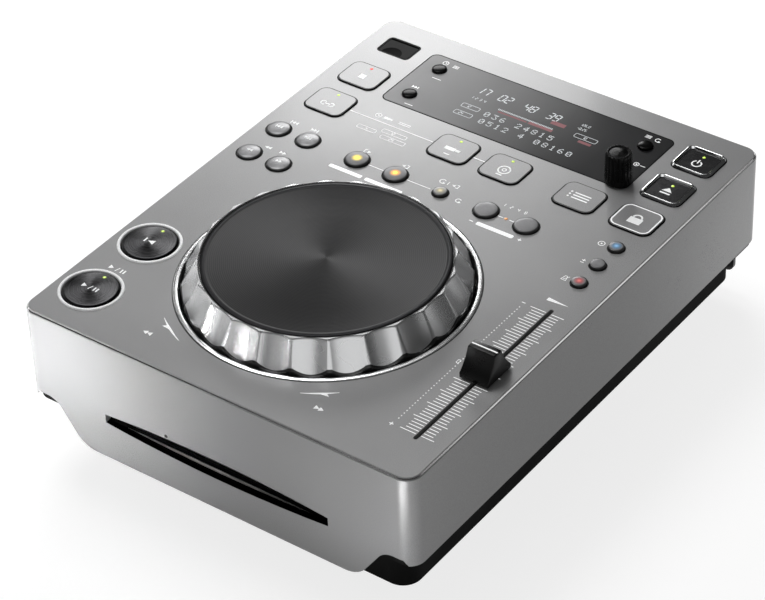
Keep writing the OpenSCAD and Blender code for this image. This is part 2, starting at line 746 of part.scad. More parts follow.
// Steel bracket under the wheel, with the bush that the spindle turns in.
module jog_bracket() {
    color([0.65, 0.66, 0.68]) on_panel(jog_x, jog_y) difference() {
        union() {
            translate([0, 0, bracket_z - bracket_t]) linear_extrude(bracket_t) {
                circle(bracket_r);
                for (a = lug_angles) rotate(a) {
                    translate([lug_r, 0]) circle(lug_pad_r);
                    translate([bracket_r - 4, -lug_pad_r]) square([lug_r - bracket_r + 4, 2 * lug_pad_r]);
                }
            }
            translate([0, 0, bracket_z - bracket_t - bush_h]) cylinder(r = bush_r, h = bush_h + joint_over);
        }
        translate([0, 0, bracket_z - bracket_t - bush_h - 1])
            cylinder(r = spindle_r + run_gap, h = bracket_t + bush_h + 2);
        for (a = lug_angles) rotate(a) translate([lug_r, 0, bracket_z - bracket_t - 1])
            cylinder(r = screw_r + 0.2, h = bracket_t + 2);
        for (a = [0 : 60 : 300]) rotate(a + 15) translate([38, 0, bracket_z - bracket_t - 1])
            cylinder(r = 11, h = bracket_t + 2);
    }
}

// ---------------------------------------------------------------- keys

// Retaining flange and stem under a key; the stem reaches into its tact switch.
module key_foot(stem_top) {
    translate([0, 0, stem_z]) cylinder(r = stem_r, h = stem_top - stem_z);
}

// Round key with a domed top.
module round_key(r, top) {
    rise = min(0.12 * r, top);
    dome_r = (r * r + rise * rise) / (2 * rise);
    on_panel() {
        intersection() {
            translate([0, 0, flange_z - joint_over]) cylinder(r = r, h = top - flange_z + 1);
            translate([0, 0, top - dome_r]) sphere(dome_r, $fn = 128);
        }
        translate([0, 0, flange_z - flange_t]) cylinder(r = r + flange_w, h = flange_t);
        key_foot(flange_z - flange_t + joint_over);
    }
}

// Flat key with round corners.
module flat_key(w, d, r, top) {
    on_panel() {
        translate([0, 0, flange_z - joint_over]) slab(w, d, r, top - flange_z + joint_over);
        translate([0, 0, flange_z - flange_t])
            slab(w + 2 * flange_w, d + 2 * flange_w, r + flange_w, flange_t);
        key_foot(flange_z - flange_t + joint_over);
    }
}

// The named round key, in its colour.
module key_round(name) {
    for (k = ROUND_KEYS) if (k[0] == name)
        color(k[3] == transport_r || k[2] > row_c + 15 ? "black" : "silver")
            translate([k[1], k[2], 0]) round_key(k[3], k[4]);
}

// The named flat key.
module key_pad(name) {
    for (k = PAD_KEYS) if (k[0] == name)
        color("silver") translate([k[1], k[2], 0]) flat_key(pad_w, pad_d, pad_r, pad_top);
}

// The named key in a chrome frame, a little below the frame's top.
module key_framed(name) {
    inner = 2 * (frame_b + key_gap);
    for (k = FRAMED_KEYS) if (k[0] == name)
        color([0.12, 0.12, 0.12]) translate([k[1], k[2], 0])
            on_panel() {
                translate([0, 0, flange_z - joint_over])
                    slab(frame_w - inner, frame_d - inner, 2, 0.5 - flange_z);
                translate([0, 0, flange_z - flange_t])
                    slab(frame_w - inner + 2 * flange_w, frame_d - inner + 2 * flange_w, 3, flange_t);
                key_foot(flange_z - flange_t + joint_over);
            }
}

// Bright rings of the CUE and PLAY keys and chrome frames of the power and eject keys.
module key_rings() {
    bore = transport_r + key_gap;
    color([0.85, 0.86, 0.88]) on_panel() {
        for (y = [cue_y, play_y]) translate([transport_x, y, 0]) rotate_extrude($fn = 128)
            polygon([[bore, -wall], [bore + 0.7, -wall], [bore + 0.7, 0], [bore + ring_w, 0],
                [bore + ring_w - 0.3, ring_h], [bore + 0.3, ring_h], [bore, ring_h - 0.3]]);
        for (k = FRAMED_KEYS) translate([k[1], k[2], 0]) difference() {
            union() {
                slab(frame_w, frame_d, 4, frame_h - 0.8);
                translate([0, 0, frame_h - 0.8]) slab(frame_w - 1.2, frame_d - 1.2, 3.4, 0.8);
                translate([0, 0, -wall]) slab(frame_w - 2, frame_d - 2, 3, wall + joint_over);
            }
            translate([0, 0, -wall - 1])
                slab(frame_w - 2 * frame_b, frame_d - 2 * frame_b, 2 + key_gap, wall + frame_h + 2);
        }
    }
}

// Every key's x and y.
function key_places() = concat([for (k = ROUND_KEYS) [k[1], k[2]]], [for (k = PAD_KEYS) [k[1], k[2]]],
    [for (k = FRAMED_KEYS) [k[1], k[2]]]);

// One tact switch under each key, with a clear hole for the key's stem, and the selector's encoder.
module panel_switches() {
    encoder_body();
    color([0.15, 0.15, 0.16]) on_panel(0, 0, board_z)
        for (p = key_places()) translate([p[0], p[1], 0]) difference() {
            translate([-switch_s / 2, -switch_s / 2, 0]) cube([switch_s, switch_s, switch_h]);
            translate([0, 0, 1]) cylinder(r = stem_r + body_gap, h = switch_h);
        }
}

// Printed board under the panel, open round the jog wheel, the USB socket and the corner posts.
module key_board() {
    color([0.1, 0.35, 0.2]) on_panel(0, 0, board_z - board_t) difference() {
        translate([left_x + wall + board_margin, front_y + wall + 12, 0])
            cube([body_w - 2 * wall - 2 * board_margin, body_d - 2 * wall - 24, board_t]);
        translate([jog_x, jog_y, -1]) cylinder(r = board_hole_r, h = board_t + 2, $fn = rim_fn);
        for (a = lug_angles) translate([jog_x, jog_y, -1]) rotate(a) translate([lug_r, 0, 0])
            cylinder(r = lug_pad_r + 2, h = board_t + 2);
        translate([column_l - 6.55 - fit_gap, well_y - 2.85 - fit_gap, -1])
            cube([13.1 + 2 * fit_gap, 5.7 + 2 * fit_gap, board_t + 2]);
    }
}

// ---------------------------------------------------------------- display and selector

// Glossy display window let into the panel.
module window() {
    color([0.16, 0.16, 0.18]) on_panel() difference() {
        translate([0, window_y, -window_t]) slab(window_w, window_d, 3.4, window_t + 0.1);
        for (k = ROUND_KEYS) if (k[2] > row_c + 15)
            translate([k[1], k[2], -window_t - 1]) cylinder(r = k[3] + key_gap, h = window_t + 2);
        translate([knob_x, knob_y, -window_t - 1]) cylinder(r = shaft_r + body_gap, h = window_t + 2);
    }
}

// Display module on the key board, behind the window.
module display_module() {
    color([0.3, 0.32, 0.34]) on_panel(0, window_y, board_z)
        translate([-module_w / 2 + 1, -module_d / 2 + 1, 0])
            cube([module_w - 2, module_d - 2, -board_z - window_t - 0.3]);
}

// Rotary encoder on the key board, with the bush for its shaft.
module encoder_body() {
    color([0.5, 0.5, 0.52]) on_panel(knob_x, knob_y, board_z) difference() {
        union() {
            translate([-6, -6, 0]) cube([12, 12, 5]);
            cylinder(r = shaft_r + 1.5, h = -board_z - wall - 0.5);
        }
        translate([0, 0, 1.5]) cylinder(r = shaft_r + run_gap, h = 20);
    }
}

// Encoder shaft: it turns with the knob and is pushed with it.
module encoder_shaft() {
    color([0.6, 0.6, 0.6]) on_panel(knob_x, knob_y, board_z + 1.5 + key_travel + body_gap)
        cylinder(r = shaft_r, h = -board_z + 10 - 1.5 - key_travel - body_gap);
}

// Black selector knob with a fluted rim.
module selector_knob() {
    foot = 1;
    top_r = knob_r - 0.4;
    color([0.05, 0.05, 0.05]) on_panel(knob_x, knob_y) difference() {
        union() {
            translate([0, 0, foot]) cylinder(r1 = knob_r, r2 = top_r, h = knob_top - foot - 0.6);
            translate([0, 0, knob_top - 0.6]) cylinder(r1 = top_r, r2 = top_r - 0.6, h = 0.6);
        }
        translate([0, 0, foot - 1]) cylinder(r = shaft_r + run_gap, h = 10 + body_gap);
        for (i = [0 : 17]) rotate(20 * i) translate([knob_r + 0.35, 0, foot + 2.5])
            cylinder(r = 0.8, h = knob_top);
        translate([0, 0, knob_top - 0.5]) cylinder(r = top_r - 1.6, h = 2);
    }
}

// ---------------------------------------------------------------- tempo slider

// Slide potentiometer's body on the key board: a channel with a slot in its top.
module tempo_fader() {
    len = 2 * fader_half;
    tall = 7.5;
    color([0.55, 0.56, 0.58]) on_panel(tempo_x, tempo_y, board_z) difference() {
        translate([-5, -len / 2, 0]) cube([10, len, tall]);
        translate([-4, -len / 2 + 1, 1]) cube([8, len - 2, tall - 2]);
        translate([-tempo_slot_w / 2, -tempo_travel - 3.5, tall - 2])
            cube([tempo_slot_w, 2 * tempo_travel + 7, 3]);
    }
}

// Carriage in the fader and the blade that carries the cap.
module tempo_carriage() {
    blade_t = tempo_slot_w - 2 * body_gap;
    color([0.75, 0.75, 0.72]) on_panel(tempo_x, tempo_y, board_z) {
        translate([-4 + body_gap, -6, 1 + body_gap]) cube([8 - 2 * body_gap, 12, 4.5]);
        translate([-blade_t / 2, -2.5, 5]) cube([blade_t, 5, -board_z - 1]);
    }
}

// Slider cap: a ridge across the travel with a hollow slope each side of it.
module tempo_cap() {
    foot = 0.8;
    ridge = 2.9;
    blade_t = tempo_slot_w - 2 * body_gap;
    hollow_r = 26;
    half = cap_d / 2;
    top = cap_top - 1;
    chord = [half - ridge, top - foot - 2];
    mid = [(half + ridge) / 2, (foot + 2 + top) / 2];
    out = [chord[1], chord[0]] / norm(chord);
    back = sqrt(hollow_r * hollow_r - chord * chord / 4);
    color([0.06, 0.06, 0.06]) on_panel(tempo_x, tempo_y) difference() {
        rotate([90, 0, 90]) translate([0, 0, -cap_w / 2]) linear_extrude(cap_w) difference() {
            polygon([[-half, foot], [half, foot], [half, foot + 2], [ridge, top], [ridge - 1, cap_top],
                [-ridge + 1, cap_top], [-ridge, top], [-half, foot + 2]]);
            for (s = [0, 1]) mirror([s, 0]) translate(mid + out * back) circle(hollow_r, $fn = 180);
        }
        translate([-blade_t / 2 - fit_gap / 2, -2.5 - fit_gap / 2, -1])
            cube([blade_t + fit_gap, 5 + fit_gap, 5 + fit_gap / 2]);
    }
}

// ---------------------------------------------------------------- USB well

// Black well let into the panel, with a floor round the socket's mouth and hinge holes for the cover.
module usb_well() {
    color([0.08, 0.08, 0.08]) on_panel(column_l, well_y) difference() {
        translate([0, 0, -well_h]) slab(well_w, well_d, 2.4, well_h);
        translate([0, 0, -well_h + 1]) slab(well_w - 2, well_d - 2, 0.6, well_h);
        translate([-6.8, -3.2, -well_h - 1]) cube([13.6, 6.4, 3]);
        translate([0, cover_axis_y(), cover_axis_z()]) rod_x(0.8 + run_gap, -well_w, well_w);
    }
}

function cover_axis_y() = well_d / 2 - 2.6;
function cover_axis_z() = -1.3;

// Hinged cover over the socket, flush with the panel, with a finger scoop.
module usb_cover() {
    cover_w = well_w - 2 - 2 * body_gap;
    front = -well_d / 2 + 1 + body_gap;
    color([0.1, 0.1, 0.1]) on_panel(column_l, well_y) {
        difference() {
            translate([-cover_w / 2, front, -1.4]) cube([cover_w, cover_axis_y() - front, 1.3]);
            translate([-1, front, 21.07]) sphere(22, $fn = 180);
        }
        translate([0, cover_axis_y(), cover_axis_z()]) {
            rod_x(1.2, -cover_w / 2, cover_w / 2);
            rod_x(0.8, -well_w / 2 + fit_gap, well_w / 2 - fit_gap);
        }
    }
}

// USB socket standing in the well's floor and the key board.
module usb_socket() {
    color([0.7, 0.7, 0.72]) on_panel(column_l, well_y, -well_h - 11.5) difference() {
        translate([-6.55, -2.85, 0]) cube([13.1, 5.7, 12.5]);
        difference() {
            translate([-6.15, -2.45, 3]) cube([12.3, 4.9, 12]);
            translate([-5.5, 0.3, 2]) cube([11, 1.8, 8]);
        }
    }
}

// ---------------------------------------------------------------- boards and sockets

// Printed board standing on four posts, from corner p to corner q.
module floor_board(p, q) {
    translate([p[0], p[1], shelf_z]) cube([q[0] - p[0], q[1] - p[1], board_t]);
    for (x = [p[0] + post_in, q[0] - post_in], y = [p[1] + post_in, q[1] - post_in])
        translate([x, y, base_z + wall]) cylinder(r = post_in / 2, h = shelf_h + joint_over);
}

// Main board: its two big chips, a shielded block and the output capacitors.
module main_board() {
    p = [-boards_half_w, boards_front];
    q = [boards_split - post_in, boards_rear];
    top = shelf_z + board_t - joint_over;
    color([0.1, 0.35, 0.2]) on_panel() {
        floor_board(p, q);
        translate([p[0] + 26, p[1] + 8, top]) cube([20, 20, 2]);
        translate([p[0] + 61, p[1] + 10, top]) cube([12, 16, 1.6]);
        translate([p[0] + 11, q[1] - 18, top]) cube([14, 12, 8]);
        for (i = [0 : 3]) translate([p[0] + 51 + 9 * i, q[1] - 12, top]) cylinder(r = 3, h = 9);
    }
}

// Power board: its transformer, a big capacitor and a relay.
module power_board() {
    p = [boards_split + post_in, boards_front];
    q = [boards_half_w, boards_rear];
    top = shelf_z + board_t - joint_over;
    color([0.45, 0.3, 0.1]) on_panel() {
        floor_board(p, q);
        translate([p[0] + 10, p[1] + 8, top]) cube([26, 24, 17]);
        translate([p[0] + 46, p[1] + 14, top]) cylinder(r = 7, h = 14);
        translate([p[0] + 44, p[1] + 28, top]) cube([12, 10, 12]);
    }
}

// Line-out sockets, control socket and USB-B socket, seated behind the rear plate.
module rear_sockets() {
    back = rear_y + rear_t;
    color([0.3, 0.3, 0.3]) on_panel() {
        difference() {
            translate([(phono_x[0] + phono_x[1]) / 2 - 14, rear_y - 12, socket_z - 6]) cube([28, 12, 12]);
            for (x = phono_x) translate([x, 0, socket_z]) rod_y(1.65, rear_y - 8, rear_y + 1);
        }
        for (x = phono_x) translate([x, 0, socket_z]) difference() {
            union() {
                rod_y(phono_r + 1, rear_y - joint_over, back);
                rod_y(phono_r, rear_y, back + phono_len);
            }
            rod_y(1.65, rear_y - 1, back + phono_len + 1);
        }
        translate([jack_x, 0, socket_z]) difference() {
            union() {
                translate([-4.5, rear_y - 12, -4.5]) cube([9, 12, 9]);
                rod_y(3, rear_y - joint_over, back + 0.5);
            }
            rod_y(jack_r, back + 0.5 - 12, back + 1);
        }
        translate([usb_b_x, 0, socket_z]) difference() {
            translate([-6, rear_y - 14, -5.5]) cube([12, 14 + rear_t, 11]);
            difference() {
                translate([-4.2, rear_y - 8, -3.8]) cube([8.4, 8 + rear_t + 1, 7.6]);
                translate([-2.8, rear_y - 9, -1.5]) cube([5.6, 8, 3]);
            }
        }
    }
}

// Three-pin mains inlet, clipped in the rear plate.
module mains_inlet() {
    back = rear_y + rear_t;
    color([0.1, 0.1, 0.1]) on_panel(inlet_x, 0, socket_z) {
        difference() {
            union() {
                translate([-inlet_w / 2, rear_y - 16, -inlet_h / 2]) cube([inlet_w, 16 + rear_t, inlet_h]);
                translate([-inlet_w / 2 - 2, back, -inlet_h / 2 - 2]) cube([inlet_w + 4, 1.5, inlet_h + 4]);
            }
            translate([-12, rear_y - 13, -8.2]) cube([24, 13 + rear_t + 2, 16.4]);
        }
        for (x = [-7, 7]) translate([x - 1, rear_y - 13 - joint_over, 1]) cube([2, 12, 4]);
        translate([-1, rear_y - 13 - joint_over, -3.5]) cube([2, 12, 4]);
    }
}

// ---------------------------------------------------------------- disc drive

// Steel chassis: a closed box whose deck is the disc bay's floor, with a lip up to the slot.
module drive_chassis() {
    w = 2 * drive_half_w;
    len = drive_rear - drive_front;
    throat_front = inner_y + 0.3;
    color([0.62, 0.63, 0.65]) on_panel() difference() {
        union() {
            translate([-w / 2, drive_front, drive_floor]) cube([w, len, deck_z - drive_floor]);
            translate([-slot_half_w - 3, throat_front, deck_z - 1.9])
                cube([2 * slot_half_w + 6, drive_front - throat_front + 1, 1.9]);
        }
        translate([-w / 2 + drive_t, drive_front + drive_t, drive_floor + drive_t])
            cube([w - 2 * drive_t, len - 2 * drive_t, deck_z - deck_t - drive_floor - drive_t]);
        translate([-drive_half_w + 3, drive_front + 2, deck_z - 3]) cube([w - 6, 11, 6]);
        translate([screw_x - 4, disc_y - 20, deck_z - 3])
            cube([-2 * screw_x + 8, drive_rear - disc_y + 8, 6]);
        for (s = [-1, 1]) translate([s * rail_x, 0, rail_z])
            rod_y(rail_r + fit_gap / 2, rail_front, drive_rear + 1);
        translate([screw_x, 0, rail_z]) rod_y(lead_r + run_gap, drive_rear - 3, drive_rear + 1);
        translate([0, roller_y, roller_z]) rod_x(1.5 + run_gap, -w, w);
        lid_screw_places() translate([0, 0, deck_z - 3]) cylinder(r = screw_r + run_gap, h = 6);
    }
}

// Flat lid over the disc bay, reaching forward to the slot.
module drive_lid() {
    w = 2 * drive_half_w;
    throat_front = inner_y + 0.3;
    color([0.66, 0.67, 0.69]) on_panel(0, 0, lid_z) difference() {
        union() {
            translate([-w / 2, drive_front, 0]) cube([w, drive_rear - drive_front, drive_t]);
            translate([-slot_half_w - 3, throat_front, 0])
                cube([2 * slot_half_w + 6, drive_front - throat_front + 1, drive_t]);
        }
        lid_screw_places() translate([0, 0, -1]) cylinder(r = screw_r + 0.2, h = drive_t + 2);
    }
}

module lid_screw_places() {
    for (sx = [-1, 1], y = [drive_front + 22, drive_rear - 8])
        translate([sx * (drive_half_w - 3.6), y, 0]) children();
}

// Four rubber dampers between the base's floor and the drive.
module drive_dampers() {
    color([0.1, 0.1, 0.1]) on_panel()
        for (sx = [-1, 1], y = [damper_front, damper_rear])
            translate([sx * damper_x, y, base_z + wall]) difference() {
                cylinder(r = 5, h = damper_h);
                translate([0, 0, -1]) cylinder(r = 2.5 + fit_gap, h = 4.5);
            }
}

// Spindle motor, sled motor and loading motor, with the sled's guide rods.
module drive_motors() {
    color([0.7, 0.7, 0.72]) on_panel() {
        translate([0, disc_y, drive_floor + drive_t]) difference() {
            cylinder(r = motor_r, h = 10);
            translate([0, 0, 2]) cylinder(r = 2 + run_gap, h = 20);
        }
        for (s = [-1, 1]) translate([s * rail_x, 0, rail_z]) rod_y(rail_r, rail_front, drive_rear);
        translate([-rail_x - 3, rail_front - 3, drive_floor + drive_t])
            cube([2 * rail_x + 6, 3 + joint_over, rail_z + 3 - drive_floor - drive_t]);
        translate([screw_x, 0, rail_z]) difference() {
            union() {
                rod_y(5, rail_front - 22, rail_front - 8);
                translate([-4, rail_front - 20, drive_floor + drive_t - rail_z]) cube([8, 10, 6]);
            }
            rod_y(lead_r + run_gap, rail_front - 12, rail_front + 1);
        }
        translate([drive_half_w - 24, drive_front + 26, drive_floor + drive_t]) cylinder(r = 8, h = 12);
    }
}

// Turntable hub on the spindle motor's shaft, lowered below the disc plane.
module disc_hub() {
    top = bay_bottom - 0.3;
    motor_top = drive_floor + drive_t + 10;
    color([0.2, 0.2, 0.2]) on_panel(0, disc_y) {
        translate([0, 0, motor_top - 8 + body_gap]) cylinder(r = 2, h = top - motor_top + 8 - body_gap);
        translate([0, 0, top - 4.5]) cylinder(r = hub_turn_r, h = 2);
        translate([0, 0, top - 2.6]) cylinder(r1 = 7.4, r2 = 6, h = 2.6);
        translate([0, 0, motor_top + body_gap]) cylinder(r = 4, h = top - 4 - motor_top - body_gap);
    }
}

// Pickup sled on its two rods, with the lens and the nut on the lead screw.
module pickup_sled() {
    tall = 7;
    color([0.35, 0.36, 0.38]) on_panel(0, sled_y, rail_z) {
        difference() {
            union() {
                translate([-sled_w / 2, -sled_d / 2, -tall / 2]) cube([sled_w, sled_d, tall]);
                translate([screw_x - 4, -3, -3.2]) cube([-screw_x - sled_w / 2 + 5, 6, 6.4]);
                translate([0, -2, tall / 2 - joint_over]) cylinder(r = 4.5, h = 2.2);
            }
            for (s = [-1, 1]) translate([s * rail_x, 0, 0]) rod_y(rail_r + run_gap, -sled_d, sled_d);
            translate([screw_x, 0, 0]) rod_y(lead_r + body_gap, -sled_d, sled_d);
        }
    }
}

// Lead screw that drives the sled.
module lead_screw() {
    color([0.75, 0.75, 0.76]) on_panel(screw_x, 0, rail_z)
        rod_y(lead_r, rail_front - 11.5, drive_rear - 0.3);
}

// Loading roller: a rubber sleeve on a steel axle between the chassis' sides.
module loading_roller() {
    half = drive_half_w - drive_t - 3;
    color([0.12, 0.12, 0.12]) on_panel(0, roller_y, roller_z) {
        rod_x(1.5, -drive_half_w, drive_half_w);
        for (s = [0, 1]) mirror([s, 0, 0]) translate([-joint_over, 0, 0]) rotate([0, 90, 0])
            cylinder(r1 = roller_r - 0.5, r2 = roller_r, h = half);
    }
}

// ---------------------------------------------------------------- the nodes

top_case();
base_tub();
rear_plate();
feet();
screws();
jog_trim();
key_rings();
window();
display_module();
usb_well();
usb_socket();
usb_cover();
key_board();
panel_switches();
tempo_fader();
tempo_carriage();
tempo_cap();
encoder_shaft();
selector_knob();
jog_bracket();
jog_spindle();
jog_wheel();
jog_plate();
main_board();
power_board();
rear_sockets();
mains_inlet();
drive_chassis();
drive_lid();
drive_dampers();
drive_motors();
disc_hub();
pickup_sled();
lead_screw();
loading_roller();
key_round("track_back_key");  // track_back_key
key_round("track_forward_key");  // track_forward_key
key_round("search_back_key");  // search_back_key
key_round("search_forward_key");  // search_forward_key
key_round("loop_in_key");  // loop_in_key
key_round("loop_out_key");  // loop_out_key
key_round("reloop_key");  // reloop_key
key_round("beat_minus_key");  // beat_minus_key
key_round("beat_plus_key");  // beat_plus_key
key_round("vinyl_key");  // vinyl_key
key_round("tempo_range_key");  // tempo_range_key
key_round("master_tempo_key");  // master_tempo_key
key_round("time_key");  // time_key
key_round("auto_cue_key");  // auto_cue_key
key_round("back_key");  // back_key
key_round("cue_key");  // cue_key
key_round("play_key");  // play_key
key_pad("stop_key");  // stop_key
key_pad("link_key");  // link_key
key_pad("stick_source_key");  // stick_source_key
key_pad("disc_source_key");  // disc_source_key
key_pad("playlist_key");  // playlist_key
key_pad("tempo_lock_key");  // tempo_lock_key
key_framed("power_key");  // power_key
key_framed("eject_key");  // eject_key
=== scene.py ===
"""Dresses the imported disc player: fine surfaces, finishes, printed marks, lamps and the studio.

Sizes are in panel millimetres: x to the right, y to the rear, z up from the panel's top face.
The part's frame is the same space in metres, moved by PANEL_SHIFT.
"""

from __future__ import annotations

import json
import logging
import math
from dataclasses import dataclass, field
from enum import Enum

import bpy
import numpy as np
from mathutils import Matrix, Vector

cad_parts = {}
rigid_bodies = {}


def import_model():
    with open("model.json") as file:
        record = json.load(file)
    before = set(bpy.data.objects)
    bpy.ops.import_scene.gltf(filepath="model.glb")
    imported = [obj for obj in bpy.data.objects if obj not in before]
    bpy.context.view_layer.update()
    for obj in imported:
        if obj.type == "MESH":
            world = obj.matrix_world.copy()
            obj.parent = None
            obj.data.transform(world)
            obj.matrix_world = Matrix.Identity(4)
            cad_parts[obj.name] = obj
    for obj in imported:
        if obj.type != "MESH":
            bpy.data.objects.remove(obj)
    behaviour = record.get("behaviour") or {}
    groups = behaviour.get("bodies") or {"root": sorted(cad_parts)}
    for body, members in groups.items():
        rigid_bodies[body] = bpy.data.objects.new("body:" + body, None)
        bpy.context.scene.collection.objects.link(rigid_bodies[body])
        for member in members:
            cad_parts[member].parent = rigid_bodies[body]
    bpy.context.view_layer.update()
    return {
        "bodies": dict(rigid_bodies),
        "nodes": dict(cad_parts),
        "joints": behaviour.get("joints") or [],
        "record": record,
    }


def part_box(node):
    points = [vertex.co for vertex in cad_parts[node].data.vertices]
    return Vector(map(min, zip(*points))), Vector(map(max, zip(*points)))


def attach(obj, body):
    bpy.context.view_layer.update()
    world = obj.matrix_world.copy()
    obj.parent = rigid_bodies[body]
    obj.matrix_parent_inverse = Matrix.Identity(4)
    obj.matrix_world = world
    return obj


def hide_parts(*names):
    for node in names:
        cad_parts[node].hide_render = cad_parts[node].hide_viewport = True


LOG = logging.getLogger("disc_player")
MM = 0.001
PANEL_SHIFT = np.array([0.0, -6.0, 90.0])
TURN = 2.0 * math.pi

JOG_CENTRE = (-2.7, -52.8)
FLANGE_Z, FLANGE_T = -3.8, 1.0
STEM_Z, STEM_R = -9.3, 1.6
LOOP_ROW = 32.0
SOURCE_ROW = 64.3
BLACK, WHITE = (0.0, 0.0, 0.0), (1.0, 1.0, 1.0)
NOISE_LOW, NOISE_HIGH = 0.3, 0.7

Colour = tuple[float, float, float]
Pair = tuple[float, float]
Triple = tuple[float, float, float]


def grey(level: float) -> Colour:
    """Returns a colour whose three parts are one level."""
    return level, level, level


def shade(colour: Colour, factor: float) -> Colour:
    """Returns a colour with each part multiplied by a factor, at most 1."""
    return tuple(min(1.0, part * factor) for part in colour)


# ------------------------------------------------------------------ shapes


class Ends(Enum):
    """How the first and last row of a loft are finished."""

    CAPPED = "a flat face closes each end"
    LOOPED = "the last row joins the first"
    POLED = "each end row shrinks to one point"


@dataclass
class Shape:
    """A closed surface in panel millimetres: its points and its faces as index arrays."""

    points: np.ndarray
    faces: list[np.ndarray] = field(default_factory=list)

    def joined(self, others: list[Shape]) -> Shape:
        """Puts other shapes beside this one.

        Args:
            others: the shapes to add, each with its own point numbers.

        Returns:
            One shape, with the later shapes' numbers moved up by the points before them.
        """
        points, faces, start = [self.points], list(self.faces), len(self.points)
        for other in others:
            points.append(other.points)
            faces.extend(block + start for block in other.faces)
            start += len(other.points)
        return Shape(np.vstack(points), faces)

    def moved(self, x: float, y: float) -> Shape:
        """Returns the shape carried by (x, y) over the panel."""
        return Shape(self.points + np.array([x, y, 0.0]), self.faces)

    def outward(self) -> Shape:
        """Returns the shape with its faces turned outwards: a negative volume means they point in."""
        return self if self.volume() >= 0.0 else Shape(self.points, [block[:, ::-1] for block in self.faces])

    def volume(self) -> float:
        """Signed volume: a sixth of the triple products of each face's fan of triangles."""
        total = 0.0
        for block in self.faces:
            corner = self.points[block]
            for k in range(1, block.shape[1] - 1):
                triple = np.cross(corner[:, k], corner[:, k + 1])
                total += float(np.sum(corner[:, 0] * triple))
        return total / 6.0


def merge(shapes: list[Shape]) -> Shape:
    """Returns one shape made of several, each with its faces outwards."""
    turned_out = [shape.outward() for shape in shapes]
    return turned_out[0].joined(turned_out[1:])


def loft(rows: np.ndarray, ends: Ends) -> Shape:
    """Joins rows of points, each row a closed ring, into one closed surface.

    Point (i, j) is joined to (i, j + 1) and (i + 1, j), and j wraps round.

    Args:
        rows: points of shape (rows, columns, 3).
        ends: what closes the first and the last row.

    Returns:
        The closed surface.
    """
    count, columns = rows.shape[0], rows.shape[1]
    ring = np.arange(columns)
    after = np.roll(ring, -1)
    first, last = 0, count
    points = rows.reshape(-1, 3)
    tail: list[np.ndarray] = []
    if ends is Ends.POLED:
        first, last = 1, count - 1
    base = np.arange(first, last - 1)[:, None] * columns
    nxt = base + columns
    quads = np.stack([base + ring, base + after, nxt + after, nxt + ring], axis=-1).reshape(-1, 4)
    if ends is Ends.LOOPED:
        top = (count - 1) * columns
        tail.append(np.stack([top + ring, top + after, after, ring], axis=-1))
    elif ends is Ends.CAPPED:
        tail.append(ring[::-1][None, :])
        tail.append((ring + (count - 1) * columns)[None, :])
    else:
        low, high = rows[0].mean(0), rows[-1].mean(0)
        inner = rows[1:-1].reshape(-1, 3)
        points = np.vstack([inner, low, high])
        quads = quads - columns
        bottom, top = len(inner), len(inner) + 1
        crown = (count - 3) * columns
        tail.append(np.stack([after, ring, np.full(columns, bottom)], axis=-1))
        tail.append(np.stack([crown + ring, crown + after, np.full(columns, top)], axis=-1))
    return Shape(points, [quads, *tail])


def turned(profile: list[Pair], columns: int = 96, ends: Ends = Ends.POLED) -> Shape:
    """Turns a profile of (radius, height) about the vertical axis.

    Point (i, j) is (r_i cos t_j, r_i sin t_j, z_i) with t_j equal steps of a full turn.

    Args:
        profile: radius and height of each row.
        columns: points round the axis.
        ends: POLED where the profile starts and ends on the axis, LOOPED for a ring.

    Returns:
        The turned surface, centred on the axis.
    """
    radius, height = np.array(profile, float).T
    angle = np.arange(columns) * TURN / columns
    rows = np.stack(
        [
            radius[:, None] * np.cos(angle),
            radius[:, None] * np.sin(angle),
            np.broadcast_to(height[:, None], (len(radius), columns)),
        ],
        axis=-1,
    )
    return loft(rows, ends)


def washer(inner: float, outer: float, low: float, high: float, columns: int) -> Shape:
    """Returns a flat ring between two radii and two heights, turned in that many columns."""
    return turned([(inner, low), (outer, low), (outer, high), (inner, high)], columns, Ends.LOOPED)


def rounded(width: float, depth: float, radius: float, steps: int) -> np.ndarray:
    """Outline of a rectangle with round corners, anticlockwise.

    Each corner is a quarter circle of the radius about a centre set in by the radius.

    Args:
        width: size along x.
        depth: size along y.
        radius: corner radius.
        steps: points on each corner.

    Returns:
        Points of shape (4 * steps, 2).
    """
    radius = max(radius, 0.05)
    angle = np.linspace(0.0, math.pi / 2, steps)
    quarter = np.arange(4)[:, None] * (math.pi / 2) + angle
    sx = np.array([1, -1, -1, 1])[:, None] * (width / 2 - radius)
    sy = np.array([1, 1, -1, -1])[:, None] * (depth / 2 - radius)
    return np.stack([sx + radius * np.cos(quarter), sy + radius * np.sin(quarter)], axis=-1).reshape(-1, 2)


def stacked(size: Triple, levels: list[Pair], ends: Ends = Ends.CAPPED, steps: int = 10) -> Shape:
    """Stacks rounded rectangles, each grown by an offset, at given heights.

    Args:
        size: width, depth and corner radius at offset 0.
        levels: (offset, height) of each row.
        ends: CAPPED for a plate, LOOPED for a frame.
        steps: points on each corner.

    Returns:
        The plate or frame, centred on the origin.
    """
    width, depth, radius = size
    rows = [
        np.column_stack([rounded(width + 2 * g, depth + 2 * g, radius + g, steps), np.full(4 * steps, z)])
        for g, z in levels
    ]
    return loft(np.array(rows), ends)


def border(size: Triple, first: float, second: float, low: float, high: float) -> Shape:
    """A flat line round a rounded rectangle, between two offsets of its outline.

    Args:
        size: width, depth and corner radius at offset 0.
        first: offset of one side of the line.
        second: offset of its other side.
        low: height of the underside.
        high: height of the top.

    Returns:
        The line as a closed ring, centred on the origin.
    """
    return stacked(size, [(first, low), (first, high), (second, high), (second, low)], Ends.LOOPED)


